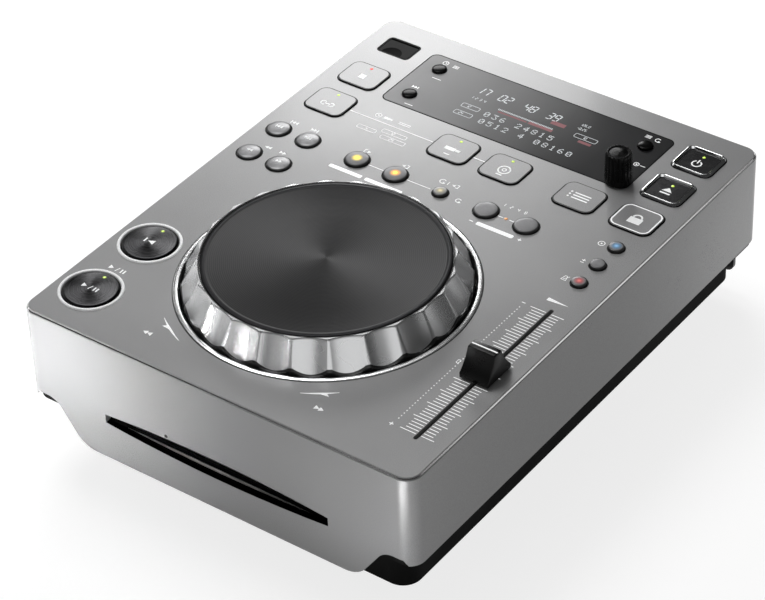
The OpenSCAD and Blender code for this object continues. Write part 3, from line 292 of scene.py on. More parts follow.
def bars(centres: np.ndarray, halves: np.ndarray, low: float, high: float, angle: float = 0.0) -> Shape:
    """Many flat bars at once, each a thin closed box.

    Corner k of a bar is its centre plus its half sizes times the signs of corner k, turned by angle.

    Args:
        centres: middles of the bars, shape (n, 2).
        halves: half length and half width of each, shape (n, 2).
        low: height of the underside.
        high: height of the top.
        angle: turn of every bar about its middle, in radians.

    Returns:
        The bars as one shape.
    """
    centres, halves = np.atleast_2d(centres).astype(float), np.atleast_2d(halves).astype(float)
    halves = np.broadcast_to(halves, centres.shape)
    signs = np.array([[-1, -1], [1, -1], [1, 1], [-1, 1]], float)
    flat = halves[:, None, :] * signs
    c, s = math.cos(angle), math.sin(angle)
    flat = np.stack([flat[..., 0] * c - flat[..., 1] * s, flat[..., 0] * s + flat[..., 1] * c], -1)
    flat = flat + centres[:, None, :]
    count = len(centres)
    lower = np.concatenate([flat, np.full((count, 4, 1), low)], -1)
    upper = np.concatenate([flat, np.full((count, 4, 1), high)], -1)
    points = np.concatenate([lower, upper], 1).reshape(-1, 3)
    box = np.array([[3, 2, 1, 0], [4, 5, 6, 7], [0, 1, 5, 4], [1, 2, 6, 5], [2, 3, 7, 6], [3, 0, 4, 7]])
    faces = (np.arange(count)[:, None, None] * 8 + box).reshape(-1, 4)
    return Shape(points, [faces])


def ribbon(path: np.ndarray, width: np.ndarray | float, low: float, high: float) -> Shape:
    """A flat line of ink that follows a path.

    Each row is the path's point plus and minus half the width along the path's normal, at both heights.

    Args:
        path: middle line, shape (n, 2).
        width: width at each point, or one width.
        low: height of the underside.
        high: height of the top.

    Returns:
        The line as a closed surface.
    """
    path = np.asarray(path, float)
    along = np.gradient(path, axis=0)
    along /= np.linalg.norm(along, axis=1, keepdims=True)
    side = np.stack([-along[:, 1], along[:, 0]], -1) * (np.broadcast_to(width, len(path))[:, None] / 2)
    left, right = path + side, path - side
    stack = [np.column_stack([e, np.full(len(path), h)]) for e,
        h in ((left, low), (right, low), (right, high), (left, high))]
    return loft(np.stack(stack, axis=1), Ends.CAPPED)


def plate(outline: np.ndarray, low: float, high: float) -> Shape:
    """Returns a flat plate with the given (n, 2) outline between two heights."""
    outline = np.asarray(outline, float)
    rows = [np.column_stack([outline, np.full(len(outline), z)]) for z in (low, high)]
    return loft(np.array(rows), Ends.CAPPED)


def arc(radius: float, start: float, stop: float, count: int, centre: Pair) -> np.ndarray:
    """Returns points on a circle from angle start to stop, in degrees."""
    angle = np.radians(np.linspace(start, stop, count))
    return np.stack([centre[0] + radius * np.cos(angle), centre[1] + radius * np.sin(angle)], -1)


class Digits:
    """Plain seven-bar numerals, as on a lit counter."""

    PATTERN = {
        "0": "abcdef", "1": "bc", "2": "abged", "3": "abgcd", "4": "fgbc", "5": "afgcd",
        "6": "afgedc", "7": "abc", "8": "abcdefg", "9": "abcdfg", "-": "g", " ": "", ".": "z",
    }

    def __init__(self, height: float, slant: float, stroke: float) -> None:
        """Keeps the numerals' size.

        Args:
            height: full height of a numeral in millimetres.
            slant: sideways lean for each unit of height.
            stroke: width of a bar as a share of the height.
        """
        self.height = height
        self.slant = slant
        self.stroke = stroke * height

    def advance(self, mark: str) -> float:
        """Returns how far the next mark stands from this one."""
        return self.height * (0.36 if mark == "." else 0.72)

    def shape(self, marks: str, x: float, y: float, low: float, high: float) -> Shape:
        """Builds a row of numerals.

        A bar's middle and half sizes come from the mark's cell, 0.5 by 1 of the height, and every
        point then leans by slant times its height in the cell.

        Args:
            marks: digits, dash, point and spaces.
            x: left end of the row.
            y: middle of the row.
            low: height of the underside.
            high: height of the top.

        Returns:
            The row as one shape.
        """
        h, t = self.height, self.stroke
        w = 0.5 * h
        flat, tall = (w / 2 - t * 0.7, t / 2), (t / 2, h / 4 - t * 0.35)
        cells = {
            "a": (w / 2, h, *flat), "g": (w / 2, h / 2, *flat), "d": (w / 2, 0.0, *flat),
            "b": (w, h * 0.75, *tall), "c": (w, h * 0.25, *tall),
            "f": (0.0, h * 0.75, *tall), "e": (0.0, h * 0.25, *tall), "z": (0.0, 0.0, t / 2, t / 2),
        }
        found, cursor = [], x
        for mark in marks:
            found += [(cursor + cells[k][0], *cells[k][1:]) for k in self.PATTERN[mark]]
            cursor += self.advance(mark)
        table = np.array(found)
        made = bars(table[:, :2], table[:, 2:], low, high)
        made.points[:, 0] += self.slant * made.points[:, 1]
        made.points[:, 1] += y - h / 2
        return made


class DotFigures:
    """Plain numerals made of square dots, seven rows of five."""

    ROWS = {
        "0": (14, 17, 19, 21, 25, 17, 14), "1": (4, 12, 4, 4, 4, 4, 14), "2": (14, 17, 1, 2, 4, 8, 31),
        "3": (31, 2, 4, 2, 1, 17, 14), "4": (2, 6, 10, 18, 31, 2, 2), "5": (31, 16, 30, 1, 1, 17, 14),
        "6": (6, 8, 16, 30, 17, 17, 14), "7": (31, 1, 2, 4, 8, 8, 8), "8": (14, 17, 17, 14, 17, 17, 14),
        "9": (14, 17, 17, 15, 1, 2, 12), " ": (0,) * 7,
    }

    def __init__(self, pitch: float, step: float) -> None:
        """Keeps the distance between dots and between numerals, in millimetres."""
        self.pitch = pitch
        self.step = step

    def shape(self, marks: str, x: float, y: float, low: float, high: float) -> Shape:
        """Builds a row of numerals; dot (row, column) is lit where that bit of the row's number is set.

        Args:
            marks: digits and spaces.
            x: left end of the row.
            y: middle of the row.
            low: height of the underside.
            high: height of the top.

        Returns:
            The row as one shape.
        """
        bits = np.array([self.ROWS[mark] for mark in marks])[:, :, None] >> np.arange(4, -1, -1) & 1
        which, row, column = np.nonzero(bits)
        centres = np.column_stack([x + which * self.step + column * self.pitch, y + (3 - row) * self.pitch])
        return bars(centres, np.array([[self.pitch * 0.42, self.pitch * 0.42]]), low, high)


class Symbols:
    """Small plain symbols for keys and legends, drawn with flat closed shapes."""

    def __init__(self, low: float, high: float) -> None:
        """Keeps the ink's underside and top heights."""
        self.low = low
        self.high = high

    def wedge(self, x: float, y: float, way: float, length: float, half: float) -> Shape:
        """A filled triangle that points along x, forwards for way 1 and back for way -1."""
        tip = np.array([[0.0, -half], [length, 0.0], [0.0, half]]) * [way, 1.0] + [x, y]
        return plate(tip, self.low, self.high)

    def bar(self, x: float, y: float, half: float, thick: float) -> Shape:
        """A plain bar given by its middle and half sizes."""
        return bars(np.array([[x, y]]), np.array([[half, thick]]), self.low, self.high)

    def ring(self, x: float, y: float, radius: float, width: float = 0.36, start: float = 0.0,
            stop: float = 356.0) -> Shape:
        """A ring or part of one, between two angles in degrees."""
        return ribbon(arc(radius, start, stop, 36, (x, y)), width, self.low, self.high)

    def dot(self, x: float, y: float, radius: float) -> Shape:
        """A filled disc."""
        return plate(arc(radius, 0.0, 345.0, 24, (x, y)), self.low, self.high)

    def skip(self, x: float, y: float, way: float, scale: float = 1.0) -> list[Shape]:
        """Two triangles and a bar: jump to the next track."""
        s = scale
        wedges = [self.wedge(x - way * back * s, y, way, 1.8 * s, 1.05 * s) for back in (2.2, 0.4)]
        return [*wedges, self.bar(x + way * 1.7 * s, y, 0.26 * s, 1.05 * s)]

    def rush(self, x: float, y: float, way: float, scale: float = 1.0) -> list[Shape]:
        """Two triangles: run fast."""
        s = scale
        return [self.wedge(x - way * back * s, y, way, 1.9 * s, 1.05 * s) for back in (1.9, 0.0)]

    def play_pause(self, x: float, y: float) -> list[Shape]:
        """A triangle, a slash and two bars."""
        slash = bars(np.array([[x, y]]), np.array([[0.2, 1.5]]), self.low, self.high, -0.35)
        return [self.wedge(x - 4.6, y, 1.0, 2.4, 1.35), slash, self.bar(x + 2.4, y, 0.36, 1.3),
            self.bar(x + 4.0, y, 0.36, 1.3)]

    def again(self, x: float, y: float, radius: float = 1.5) -> list[Shape]:
        """A ring open at the right with an arrow's tip: do it again."""
        return [self.ring(x, y, radius, 0.42, 40.0, 320.0),
            self.wedge(x + radius * 0.45, y - radius * 0.75, 1.0, 1.3, 0.8)]

    def bracket(self, x: float, y: float, way: float) -> list[Shape]:
        """A square bracket with a triangle beside it: start or end of a stretch."""
        arms = [self.bar(x + way * 0.6, y + rise, 0.6, 0.2) for rise in (1.15, -1.15)]
        return [self.bar(x, y, 0.22, 1.35), *arms, self.wedge(x + way * 1.9, y, way, 1.8, 0.95)]

    def clock(self, x: float, y: float) -> list[Shape]:
        """A dial with two hands."""
        return [self.ring(x, y, 1.5), self.bar(x, y + 0.5, 0.16, 0.65), self.bar(x + 0.4, y, 0.5, 0.16)]

    def platter(self, x: float, y: float) -> list[Shape]:
        """A record: a ring and its middle."""
        return [self.ring(x, y, 1.6), self.dot(x, y, 0.5)]

    def plus_minus(self, x: float, y: float) -> list[Shape]:
        """A plus over a minus."""
        return [self.bar(x, y + 0.5, 0.95, 0.18), self.bar(x, y + 0.5, 0.18, 0.9),
            self.bar(x, y - 1.25, 0.95, 0.18)]

    def pendulum(self, x: float, y: float) -> list[Shape]:
        """A beating pendulum in its case."""
        case = np.array([[-1.3, -1.5], [1.3, -1.5], [0.6, 1.6], [-0.6, 1.6]]) + [x, y]
        edge = np.vstack([case, case[:1]])
        swing = bars(np.array([[x + 0.7, y + 0.4]]), np.array([[0.15, 1.7]]), self.low, self.high, -0.6)
        sides = [ribbon(np.linspace(a, b, 4), 0.3, self.low, self.high) for a, b in zip(edge[:-1], edge[1:])]
        return [*sides, swing]

    def menu(self, x: float, y: float) -> list[Shape]:
        """Three short lines."""
        return [self.bar(x, y + k * 0.85, 1.6, 0.2) for k in (-1, 0, 1)]

    def pill(self, x: float, y: float, half: float, thick: float) -> Shape:
        """An empty rounded badge: a closed outline."""
        return border((2 * half, 2 * thick, thick * 0.6), 0.0, -0.28, self.low, self.high).moved(x, y)


# ------------------------------------------------------------------ finishes


class Graph:
    """A material's node tree with short calls to lay nodes in it."""

    def __init__(self, name: str) -> None:
        """Starts a material with one principled shader.

        Args:
            name: the material's name.
        """
        self.material = bpy.data.materials.new(name)
        self.material.use_nodes = True
        self.tree = self.material.node_tree
        self.tree.nodes.clear()
        self.shader = self.tree.nodes.new("ShaderNodeBsdfPrincipled")
        output = self.tree.nodes.new("ShaderNodeOutputMaterial")
        self.tree.links.new(self.shader.outputs["BSDF"], output.inputs["Surface"])

    def add(self, kind: str, inputs: dict | None = None, **settings: object) -> bpy.types.Node:
        """Adds a node.

        Args:
            kind: Blender's node type.
            inputs: values or sockets for its inputs, by name or number.
            settings: the node's own properties.

        Returns:
            The new node.
        """
        node = self.tree.nodes.new(kind)
        for key, value in settings.items():
            setattr(node, key, value)
        for key, value in (inputs or {}).items():
            self.feed(node.inputs[key], value)
        return node

    def feed(self, socket: bpy.types.NodeSocket, value: object) -> None:
        """Links a socket into an input, or sets the input's constant."""
        if isinstance(value, bpy.types.NodeSocket):
            self.tree.links.new(value, socket)
        else:
            socket.default_value = value

    def set(self, **values: object) -> None:
        """Feeds the principled shader; an underscore in a name stands for a space."""
        for key, value in values.items():
            self.feed(self.shader.inputs[key.replace("_", " ")], value)

    def point(self) -> bpy.types.NodeSocket:
        """Returns the object coordinates, in metres."""
        return self.add("ShaderNodeTexCoord").outputs["Object"]

    def axes(self) -> bpy.types.bpy_prop_collection:
        """Returns the sockets of the object coordinates' x, y and z."""
        return self.add("ShaderNodeSeparateXYZ", {0: self.point()}).outputs

    def noise(self, scale: float, detail: float = 2.0, rough: float = 0.5,
            stretch: Triple | None = None) -> bpy.types.NodeSocket:
        """Smooth noise between 0 and 1.

        Args:
            scale: waves in a metre.
            detail: octaves.
            rough: how strongly the fine octaves count.
            stretch: factor on each axis, where the grain has a direction.

        Returns:
            The noise value's socket.
        """
        place = self.point()
        if stretch is not None:
            place = self.add("ShaderNodeMapping", {"Vector": place, "Scale": stretch}).outputs["Vector"]
        return self.add(
            "ShaderNodeTexNoise", {"Vector": place, "Scale": scale, "Detail": detail, "Roughness": rough}
        ).outputs["Fac"]

    def math(self, operation: str, a: object, b: object = 0.0, clamp: bool = False) -> bpy.types.NodeSocket:
        """Returns the result of one arithmetic step."""
        return self.add("ShaderNodeMath", {0: a, 1: b}, operation=operation, use_clamp=clamp).outputs[0]

    def spread(self, value: object, low: float = NOISE_LOW, high: float = NOISE_HIGH, to_low: float = 0.0,
               to_high: float = 1.0) -> bpy.types.NodeSocket:
        """Maps low..high, or the usual range of noise, smoothly to to_low..to_high."""
        return self.add(
            "ShaderNodeMapRange",
            {"Value": value, "From Min": low, "From Max": high, "To Min": to_low, "To Max": to_high},
            interpolation_type="SMOOTHSTEP",
        ).outputs["Result"]

    def vary(self, noise: object, middle: float, less: float, more: float) -> bpy.types.NodeSocket:
        """Returns a value that noise moves from a middle, down by less and up by more."""
        return self.spread(noise, to_low=middle - less, to_high=middle + more)

    def ramp(self, value: object, stops: list[tuple[float, Colour]]) -> bpy.types.NodeSocket:
        """Turns a value into a colour by stops of (place, colour)."""
        node = self.add("ShaderNodeValToRGB", {"Fac": value})
        marks = node.color_ramp.elements
        while len(marks) < len(stops):
            marks.new(0.5)
        for mark, (place, colour) in zip(marks, stops):
            mark.position = place
            mark.color = (*colour, 1.0)
        return node.outputs["Color"]

    def blend(self, share: object, a: object, b: object, mode: str = "MIX") -> bpy.types.NodeSocket:
        """Mixes two colours."""
        first = (*a, 1.0) if isinstance(a, tuple) else a
        second = (*b, 1.0) if isinstance(b, tuple) else b
        return self.add(
            "ShaderNodeMix", {0: share, 6: first, 7: second}, data_type="RGBA", blend_type=mode
        ).outputs[2]

    def bump(self, height: object, depth: float, strength: float) -> bpy.types.NodeSocket:
        """Returns a normal bent by a height of the given depth in metres."""
        return self.add("ShaderNodeBump",
            {"Height": height, "Distance": depth, "Strength": strength}).outputs["Normal"]

    def radius(self, centre: Pair) -> bpy.types.NodeSocket:
        """Returns the distance in metres from a vertical axis at a panel place in millimetres."""
        place = metres(np.array([centre[0], centre[1], 0.0]))
        moved = self.add(
            "ShaderNodeVectorMath",
            {0: self.point(), 1: (float(place[0]), float(place[1]), 0.0)},
            operation="SUBTRACT",
        ).outputs[0]
        flat = self.add("ShaderNodeVectorMath", {0: moved, 1: (1.0, 1.0, 0.0)},
            operation="MULTIPLY").outputs[0]
        return self.add("ShaderNodeVectorMath", {0: flat}, operation="LENGTH").outputs["Value"]

    def under(self, level: float) -> bpy.types.NodeSocket:
        """Returns 1 below a panel height in millimetres and 0 above it, over a 0.06 mm step."""
        middle = (level + PANEL_SHIFT[2]) * MM
        return self.spread(self.axes()[2], middle + 0.00003, middle - 0.00003)

    def rub(self, box: Worn) -> bpy.types.NodeSocket:
        """How much a point lies on the edge of a box, broken up as wear is.

        A point is near a side when it is within reach of it, and on an edge when it is near two
        sides at once; the result is that share times coarse noise.

        Args:
            box: the box's low and high corner and the worn strip's width, in metres.

        Returns:
            The share of wear, 0 to 1.
        """
        parts = self.axes()
        near = []
        for k in range(3):
            middle, half = (box.low[k] + box.high[k]) / 2, (box.high[k] - box.low[k]) / 2
            away = self.math("ABSOLUTE", self.math("SUBTRACT", parts[k], middle))
            near.append(self.spread(away, half - box.reach, half))
        pairs = [self.math("MULTIPLY", near[i], near[(i + 1) % 3]) for i in range(3)]
        edge = self.math("MAXIMUM", self.math("MAXIMUM", pairs[0], pairs[1]), pairs[2])
        patch = self.spread(self.noise(160.0, 3.0, 0.6), 0.42, 0.62)
        return self.math("MULTIPLY", edge, patch)


def metres(points: np.ndarray) -> np.ndarray:
    """Returns panel millimetres as metres in the part's frame."""
    return (np.asarray(points, float) + PANEL_SHIFT) * MM


@dataclass(frozen=True)
class Worn:
    """The box whose edges a finish is rubbed on."""

    low: Triple
    high: Triple
    reach: float = 0.0012


@dataclass(frozen=True)
class SatinPaint:
    """Metal-flake paint: fine flakes, faint cloudiness, thin lacquer, and lighter along its edges, partly
    paint worn thin and partly a painted highlight.
    """

    name: str = "satin_silver"
    colour: Colour = (0.30, 0.30, 0.302)
    metal: float = 0.14
    rough: float = 0.34
    gloss: float = 0.25
    lacquer: float = 0.12
    painted_shade_under: float | None = None
    worn: Worn | None = None

    def make(self) -> bpy.types.Material:
        """Builds the material."""
        g = Graph(self.name)
        g.set(Coat_Weight=self.lacquer, Coat_Roughness=0.12)
        cloud = g.noise(14.0, 3.0, 0.55)
        flake = g.noise(2600.0, 1.0, 0.4)
        tone = g.math("ADD", g.vary(cloud, 1.0, 0.035, 0.035), g.spread(flake, 0.35, 0.65, -0.07, 0.07))
        flakes = g.add("ShaderNodeCombineXYZ", {0: tone, 1: tone, 2: tone}).outputs[0]
        colour = g.blend(1.0, self.colour, flakes, "MULTIPLY")
        rough = g.math("ADD", g.vary(cloud, self.rough, 0.03, 0.03), g.vary(flake, 0.0, 0.04, 0.04))
        # Lighter, smoother edges: partly paint worn thin, partly a painted highlight along the edges.
        if self.worn is not None:
            edge = g.rub(self.worn)
            colour = g.blend(g.math("MULTIPLY", edge, 0.7), colour, shade(self.colour, 1.5))
            rough = g.math("SUBTRACT", rough, g.math("MULTIPLY", edge, 0.08), clamp=True)
        # Painted shade: black below the given height, where a key's sides stand in shade.
        if self.painted_shade_under is not None:
            colour = g.blend(g.under(self.painted_shade_under), colour, grey(0.006))
        g.set(Base_Color=colour, Roughness=rough, Metallic=self.metal, Specular_IOR_Level=self.gloss)
        g.set(Normal=g.bump(g.noise(1500.0, 2.0, 0.5), 0.000025, 0.35))
        return g.material


@dataclass(frozen=True)
class Plating:
    """Bright plated metal: a little orange peel, finger haze and a tint."""

    name: str = "bright_plating"
    colour: Colour = (0.80, 0.81, 0.82)
    rough: float = 0.11
    haze: float = 0.06
    peel: float = 0.00002

    def make(self) -> bpy.types.Material:
        """Builds the material."""
        g = Graph(self.name)
        smear = g.noise(45.0, 4.0, 0.6)
        tint = g.blend(g.spread(smear, 0.35, 0.7), shade(self.colour, 0.93), self.colour)
        g.set(Base_Color=tint, Metallic=1.0,
            Roughness=g.spread(smear, 0.35, 0.75, self.rough, self.rough + self.haze))
        g.set(Normal=g.bump(g.noise(380.0, 2.0, 0.5), self.peel, 0.4))
        return g.material


@dataclass(frozen=True)
class WheelPlating:
    """Satin chrome on the wheel's hollows, with gloss black left on its crown, and black painted shadow on its
    lower band.
    """

    centre: Pair
    crown: float
    crown_z: float
    shadow_band: float
    name: str = "wheel_chrome"
    chrome: Colour = (0.62, 0.625, 0.63)
    black: Colour = grey(0.006)
    metal: float = 0.88
    rough: float = 0.26

    def make(self) -> bpy.types.Material:
        """Builds the material: black painted shadow outside the shadow band's radius, and gloss black inside
        the crown's at the top.
        """
        g = Graph(self.name)
        radius = g.radius(self.centre)
        # Painted shadow: the skirt's lower band, down in the trim ring's well, is made black.
        outside = g.spread(radius, (self.shadow_band - 0.05) * MM, self.shadow_band * MM)
        inside = g.spread(radius, (self.crown + 0.08) * MM, (self.crown - 0.08) * MM)
        on_top = g.math("SUBTRACT", 1.0, g.under(self.crown_z))
        dark = g.math("MAXIMUM", outside, g.math("MULTIPLY", inside, on_top))
        smear = g.noise(24.0, 2.0, 0.5)
        tone = g.blend(g.spread(smear), shade(self.chrome, 0.97), self.chrome)
        g.set(Base_Color=g.blend(dark, tone, self.black),
            Metallic=g.math("MULTIPLY", g.math("SUBTRACT", 1.0, dark), self.metal))
        g.set(Roughness=g.spread(smear, 0.3, 0.75, self.rough, self.rough + 0.02))
        g.set(Normal=g.bump(g.noise(900.0, 1.0, 0.5), 0.0000004, 0.1))
        return g.material


@dataclass(frozen=True)
class SpunMetal:
    """Turned dark metal: concentric tool marks and a sheen that fans out from the middle."""

    name: str
    centre: Pair
    edge: float
    colour: Colour = (0.05, 0.05, 0.052)
    rim: Colour = (0.012, 0.012, 0.013)
    metal: float = 0.7
    rough: float = 0.42
    pitch: float = 0.0009
    fan: float = 0.7
    gloss: float = 0.4

    def make(self) -> bpy.types.Material:
        """Builds the material; marks are a sine of the radius, broken by noise along the radius."""
        g = Graph(self.name)
        radius = g.radius(self.centre)
        cut = g.math("SINE", g.math("MULTIPLY", radius, TURN / self.pitch))
        along = g.add("ShaderNodeCombineXYZ", {0: g.math("MULTIPLY", radius, 2200.0)}).outputs[0]
        fine = g.add("ShaderNodeTexNoise", {"Vector": along, "Scale": 1.0, "Detail": 3.0}).outputs["Fac"]
        mark = g.math("ADD", g.math("MULTIPLY", cut, 0.5), fine)
        tone = g.spread(mark, 0.1, 0.95)
        face = g.blend(tone, shade(self.colour, 0.82), shade(self.colour, 1.18))
        outer = g.spread(radius, (self.edge - 0.6) * MM, (self.edge - 0.1) * MM)
        g.set(Base_Color=g.blend(outer, face, self.rim), Metallic=self.metal)
        g.set(Roughness=g.vary(fine, self.rough, 0.05, 0.05), Anisotropic=self.fan)
        g.set(Specular_IOR_Level=self.gloss)
        g.set(Tangent=g.add("ShaderNodeTangent", direction_type="RADIAL", axis="Z").outputs["Tangent"])
        g.set(Normal=g.bump(mark, 0.00003, 0.35))
        return g.material


@dataclass(frozen=True)
class Moulding:
    """Moulded plastic: pebbled grain, slight tone drift, rubbed edges, and painted shade (black) below a level
    if asked.
    """

    name: str
    colour: Colour = (0.016, 0.016, 0.017)
    rough: float = 0.48
    grain: float = 0.00006
    scale: float = 1300.0
    gloss: float = 0.5
    painted_shade_under: float | None = None
    worn: Worn | None = None

    def make(self) -> bpy.types.Material:
        """Builds the material."""
        g = Graph(self.name)
        cloud = g.noise(30.0, 4.0, 0.6)
        pebble = g.noise(self.scale, 2.0, 0.5)
        tone = g.blend(g.spread(cloud), shade(self.colour, 0.85), shade(self.colour, 1.2))
        rough = g.math("ADD", g.vary(cloud, self.rough, 0.05, 0.05), g.spread(pebble, 0.3, 0.7, 0.03, -0.03))
        if self.worn is not None:
            edge = g.rub(self.worn)
            pale = tuple(min(1.0, c * 2.2 + 0.01) for c in self.colour)
            tone = g.blend(g.math("MULTIPLY", edge, 0.6), tone, pale)
            rough = g.math("SUBTRACT", rough, g.math("MULTIPLY", edge, 0.12), clamp=True)
        # Painted shade: black below the given height, such as a door's scoop and sides lying in shade.
        if self.painted_shade_under is not None:
            tone = g.blend(g.under(self.painted_shade_under), tone, grey(0.004))
        g.set(Base_Color=tone, Roughness=rough, Specular_IOR_Level=self.gloss)
        g.set(Normal=g.bump(pebble, self.grain, 0.4))
        return g.material


@dataclass(frozen=True)
class SheetSteel:
    """Rolled or plated steel: grain along one axis and a faint spangle."""

    name: str
    colour: Colour = (0.48, 0.48, 0.47)
    rough: float = 0.34
    metal: float = 1.0
    grain: Triple = (1.0, 14.0, 14.0)

    def make(self) -> bpy.types.Material:
        """Builds the material."""
        g = Graph(self.name)
        rolled = g.noise(90.0, 4.0, 0.65, self.grain)
        spangle = g.add("ShaderNodeTexVoronoi", {"Vector": g.point(), "Scale": 130.0}).outputs["Color"]
        plain = g.add("ShaderNodeRGBToBW", {0: spangle}).outputs[0]
        tone = g.math("ADD", g.vary(rolled, 0.0, 0.5, 0.5), g.spread(plain, 0.0, 1.0, -0.35, 0.35))
        tint = g.blend(g.spread(tone, -0.6, 0.6), shade(self.colour, 0.8), shade(self.colour, 1.15))
        g.set(Base_Color=tint)
        g.set(Metallic=self.metal, Roughness=g.vary(rolled, self.rough, 0.06, 0.08))
        g.set(Normal=g.bump(rolled, 0.00002, 0.3))
        return g.material


@dataclass(frozen=True)
class CircuitCard:
    """Green solder mask with copper tracks under it and bare solder spots."""

    name: str = "circuit_card"
    mask: Colour = (0.012, 0.11, 0.045)
    track: Colour = (0.03, 0.20, 0.08)

    def make(self) -> bpy.types.Material:
        """Builds the material."""
        g = Graph(self.name)
        brick = {"Vector": g.point(), "Scale": 90.0, "Mortar Size": 0.05}
        tracks = g.add("ShaderNodeTexBrick", brick).outputs["Fac"]
        spots = g.add("ShaderNodeTexVoronoi", {"Vector": g.point(), "Scale": 330.0}).outputs["Distance"]
        solder = g.spread(spots, 0.22, 0.14)
        board = g.blend(tracks, self.mask, self.track)
        g.set(Base_Color=g.blend(solder, board, (0.55, 0.54, 0.5)), Metallic=g.math("MULTIPLY", solder, 0.8))
        g.set(Roughness=g.spread(tracks, 0.0, 1.0, 0.32, 0.22))
        g.set(Normal=g.bump(g.math("ADD", tracks, solder), 0.00004, 0.5))
        return g.material


@dataclass(frozen=True)
class Ink:
    """Screen-printed ink: nearly opaque, with a soft tooth, tiny pinholes of tone, and a painted glow that
    keeps it bright although it is no lamp.
    """

    name: str = "white_ink"
    colour: Colour = (0.90, 0.905, 0.91)
    rough: float = 0.5
    glow: float = 0.3

    def make(self) -> bpy.types.Material:
        """Builds the material."""
        g = Graph(self.name)
        tooth = g.noise(2400.0, 2.0, 0.6)
        tone = g.blend(g.spread(tooth, 0.3, 0.62), shade(self.colour, 0.88), self.colour)
        g.set(Base_Color=tone, Roughness=g.vary(tooth, self.rough, 0.06, 0.06))
        # Painted light: the ink glows to stay bright white; only the counter's figures are really lit from
        # behind.
        if self.glow > 0.0:
            g.set(Emission_Color=tone, Emission_Strength=self.glow)
        g.set(Normal=g.bump(tooth, 0.00001, 0.3))
        return g.material


# Key ink keeps the ink's painted glow.
KEY_INK = Ink("key_ink", colour=(0.84, 0.85, 0.85))


@dataclass(frozen=True)
class Diode:
    """A small coloured lens with its lamp on, brighter in the middle."""

    name: str
    centre: Pair
    size: float
    colour: Colour
    core: Colour
    glow: float = 1.2

    def make(self) -> bpy.types.Material:
        """Builds the material."""
        g = Graph(self.name)
        share = g.spread(g.radius(self.centre), 0.0, self.size * MM)
        uneven = g.spread(g.noise(1800.0, 2.0, 0.5), 0.3, 0.7, -0.12, 0.12)
        tone = g.blend(g.math("ADD", share, uneven, clamp=True), self.core, self.colour)
        g.set(Base_Color=tone, Roughness=g.spread(share, 0.0, 1.0, 0.18, 0.28), Emission_Color=tone)
        g.set(Emission_Strength=self.glow, Coat_Weight=0.5)
        return g.material


@dataclass(frozen=True)
class DomedResin:
    """A plated resin key: satin grey, darker at its rim, and lit in the middle where it has a lamp."""

    name: str
    centre: Pair
    size: float
    colour: Colour = (0.21, 0.21, 0.215)
    metal: float = 0.5
    rough: float = 0.2
    lamp: Colour | None = None
    core: Colour = (1.0, 0.85, 0.1)
    reach: float = 0.45
    glow: float = 0.9
    coat: float = 0.3
    rim: float = 0.85

    def make(self) -> bpy.types.Material:
        """Builds the material; the lamp's light falls off with the distance from the key's middle."""
        g = Graph(self.name)
        cloud = g.noise(420.0, 3.0, 0.55)
        tone = g.blend(g.spread(cloud), shade(self.colour, 0.92), shade(self.colour, 1.08))
        g.set(Metallic=self.metal, Roughness=g.vary(cloud, self.rough, 0.03, 0.05))
        g.set(Coat_Weight=self.coat, Coat_Roughness=0.1)
        if self.lamp is not None:
            radius = g.radius(self.centre)
            lit = g.spread(radius, self.size * MM * self.reach * 1.5, self.size * MM * self.reach * 0.35)
            heart = g.spread(radius, self.size * MM * self.reach * 0.8, 0.0)
            light = g.blend(heart, self.lamp, self.core)
            tone = g.blend(lit, tone, light)
            g.set(Emission_Color=g.blend(lit, BLACK, light), Emission_Strength=self.glow)
        rim = g.spread(g.radius(self.centre), (self.size - 0.85) * MM, (self.size - 0.45) * MM)
        tone = g.blend(g.math("MULTIPLY", rim, self.rim), tone, grey(0.008))
        g.set(Base_Color=tone, Normal=g.bump(g.noise(1400.0, 2.0, 0.5), 0.000015, 0.3))
        return g.material


@dataclass(frozen=True)
class GlarePaintedPane:
    """Acrylic pane with a painted reflection: silver at the left end fades to black at the right, as glare
    from the left.
    """

    name: str = "display_pane"
    left: float = -70.5
    right: float = 70.5

    def make(self) -> bpy.types.Material:
        """Builds the material; the painted reflection is a ramp of colour over the length."""
        g = Graph(self.name)
        screen = g.noise(2600.0, 1.0, 0.5)
        span = {"Value": g.axes()[0], "From Min": self.left * MM, "From Max": self.right * MM}
        along = g.add("ShaderNodeMapRange", span).outputs["Result"]
        share = g.math("ADD", along, g.vary(screen, 0.0, 0.006, 0.006))
        # Painted reflection: light at the left end to black at the right, where glare from the left would
        # fall.
        tone = g.ramp(share, [
            (0.0, (0.31, 0.31, 0.313)), (0.18, (0.22, 0.22, 0.222)), (0.42, (0.12, 0.12, 0.122)),
            (0.62, (0.036, 0.036, 0.037)), (0.82, (0.008, 0.008, 0.009)), (1.0, (0.004, 0.004, 0.005)),
        ])
        smear = g.noise(35.0, 4.0, 0.6)
        g.set(Base_Color=tone, Roughness=g.spread(smear, 0.35, 0.7, 0.42, 0.5), Specular_IOR_Level=0.1)
        g.set(Coat_Weight=0.03, Coat_Roughness=0.08, Normal=g.bump(g.noise(700.0, 2.0, 0.5), 0.000004, 0.25))
        return g.material


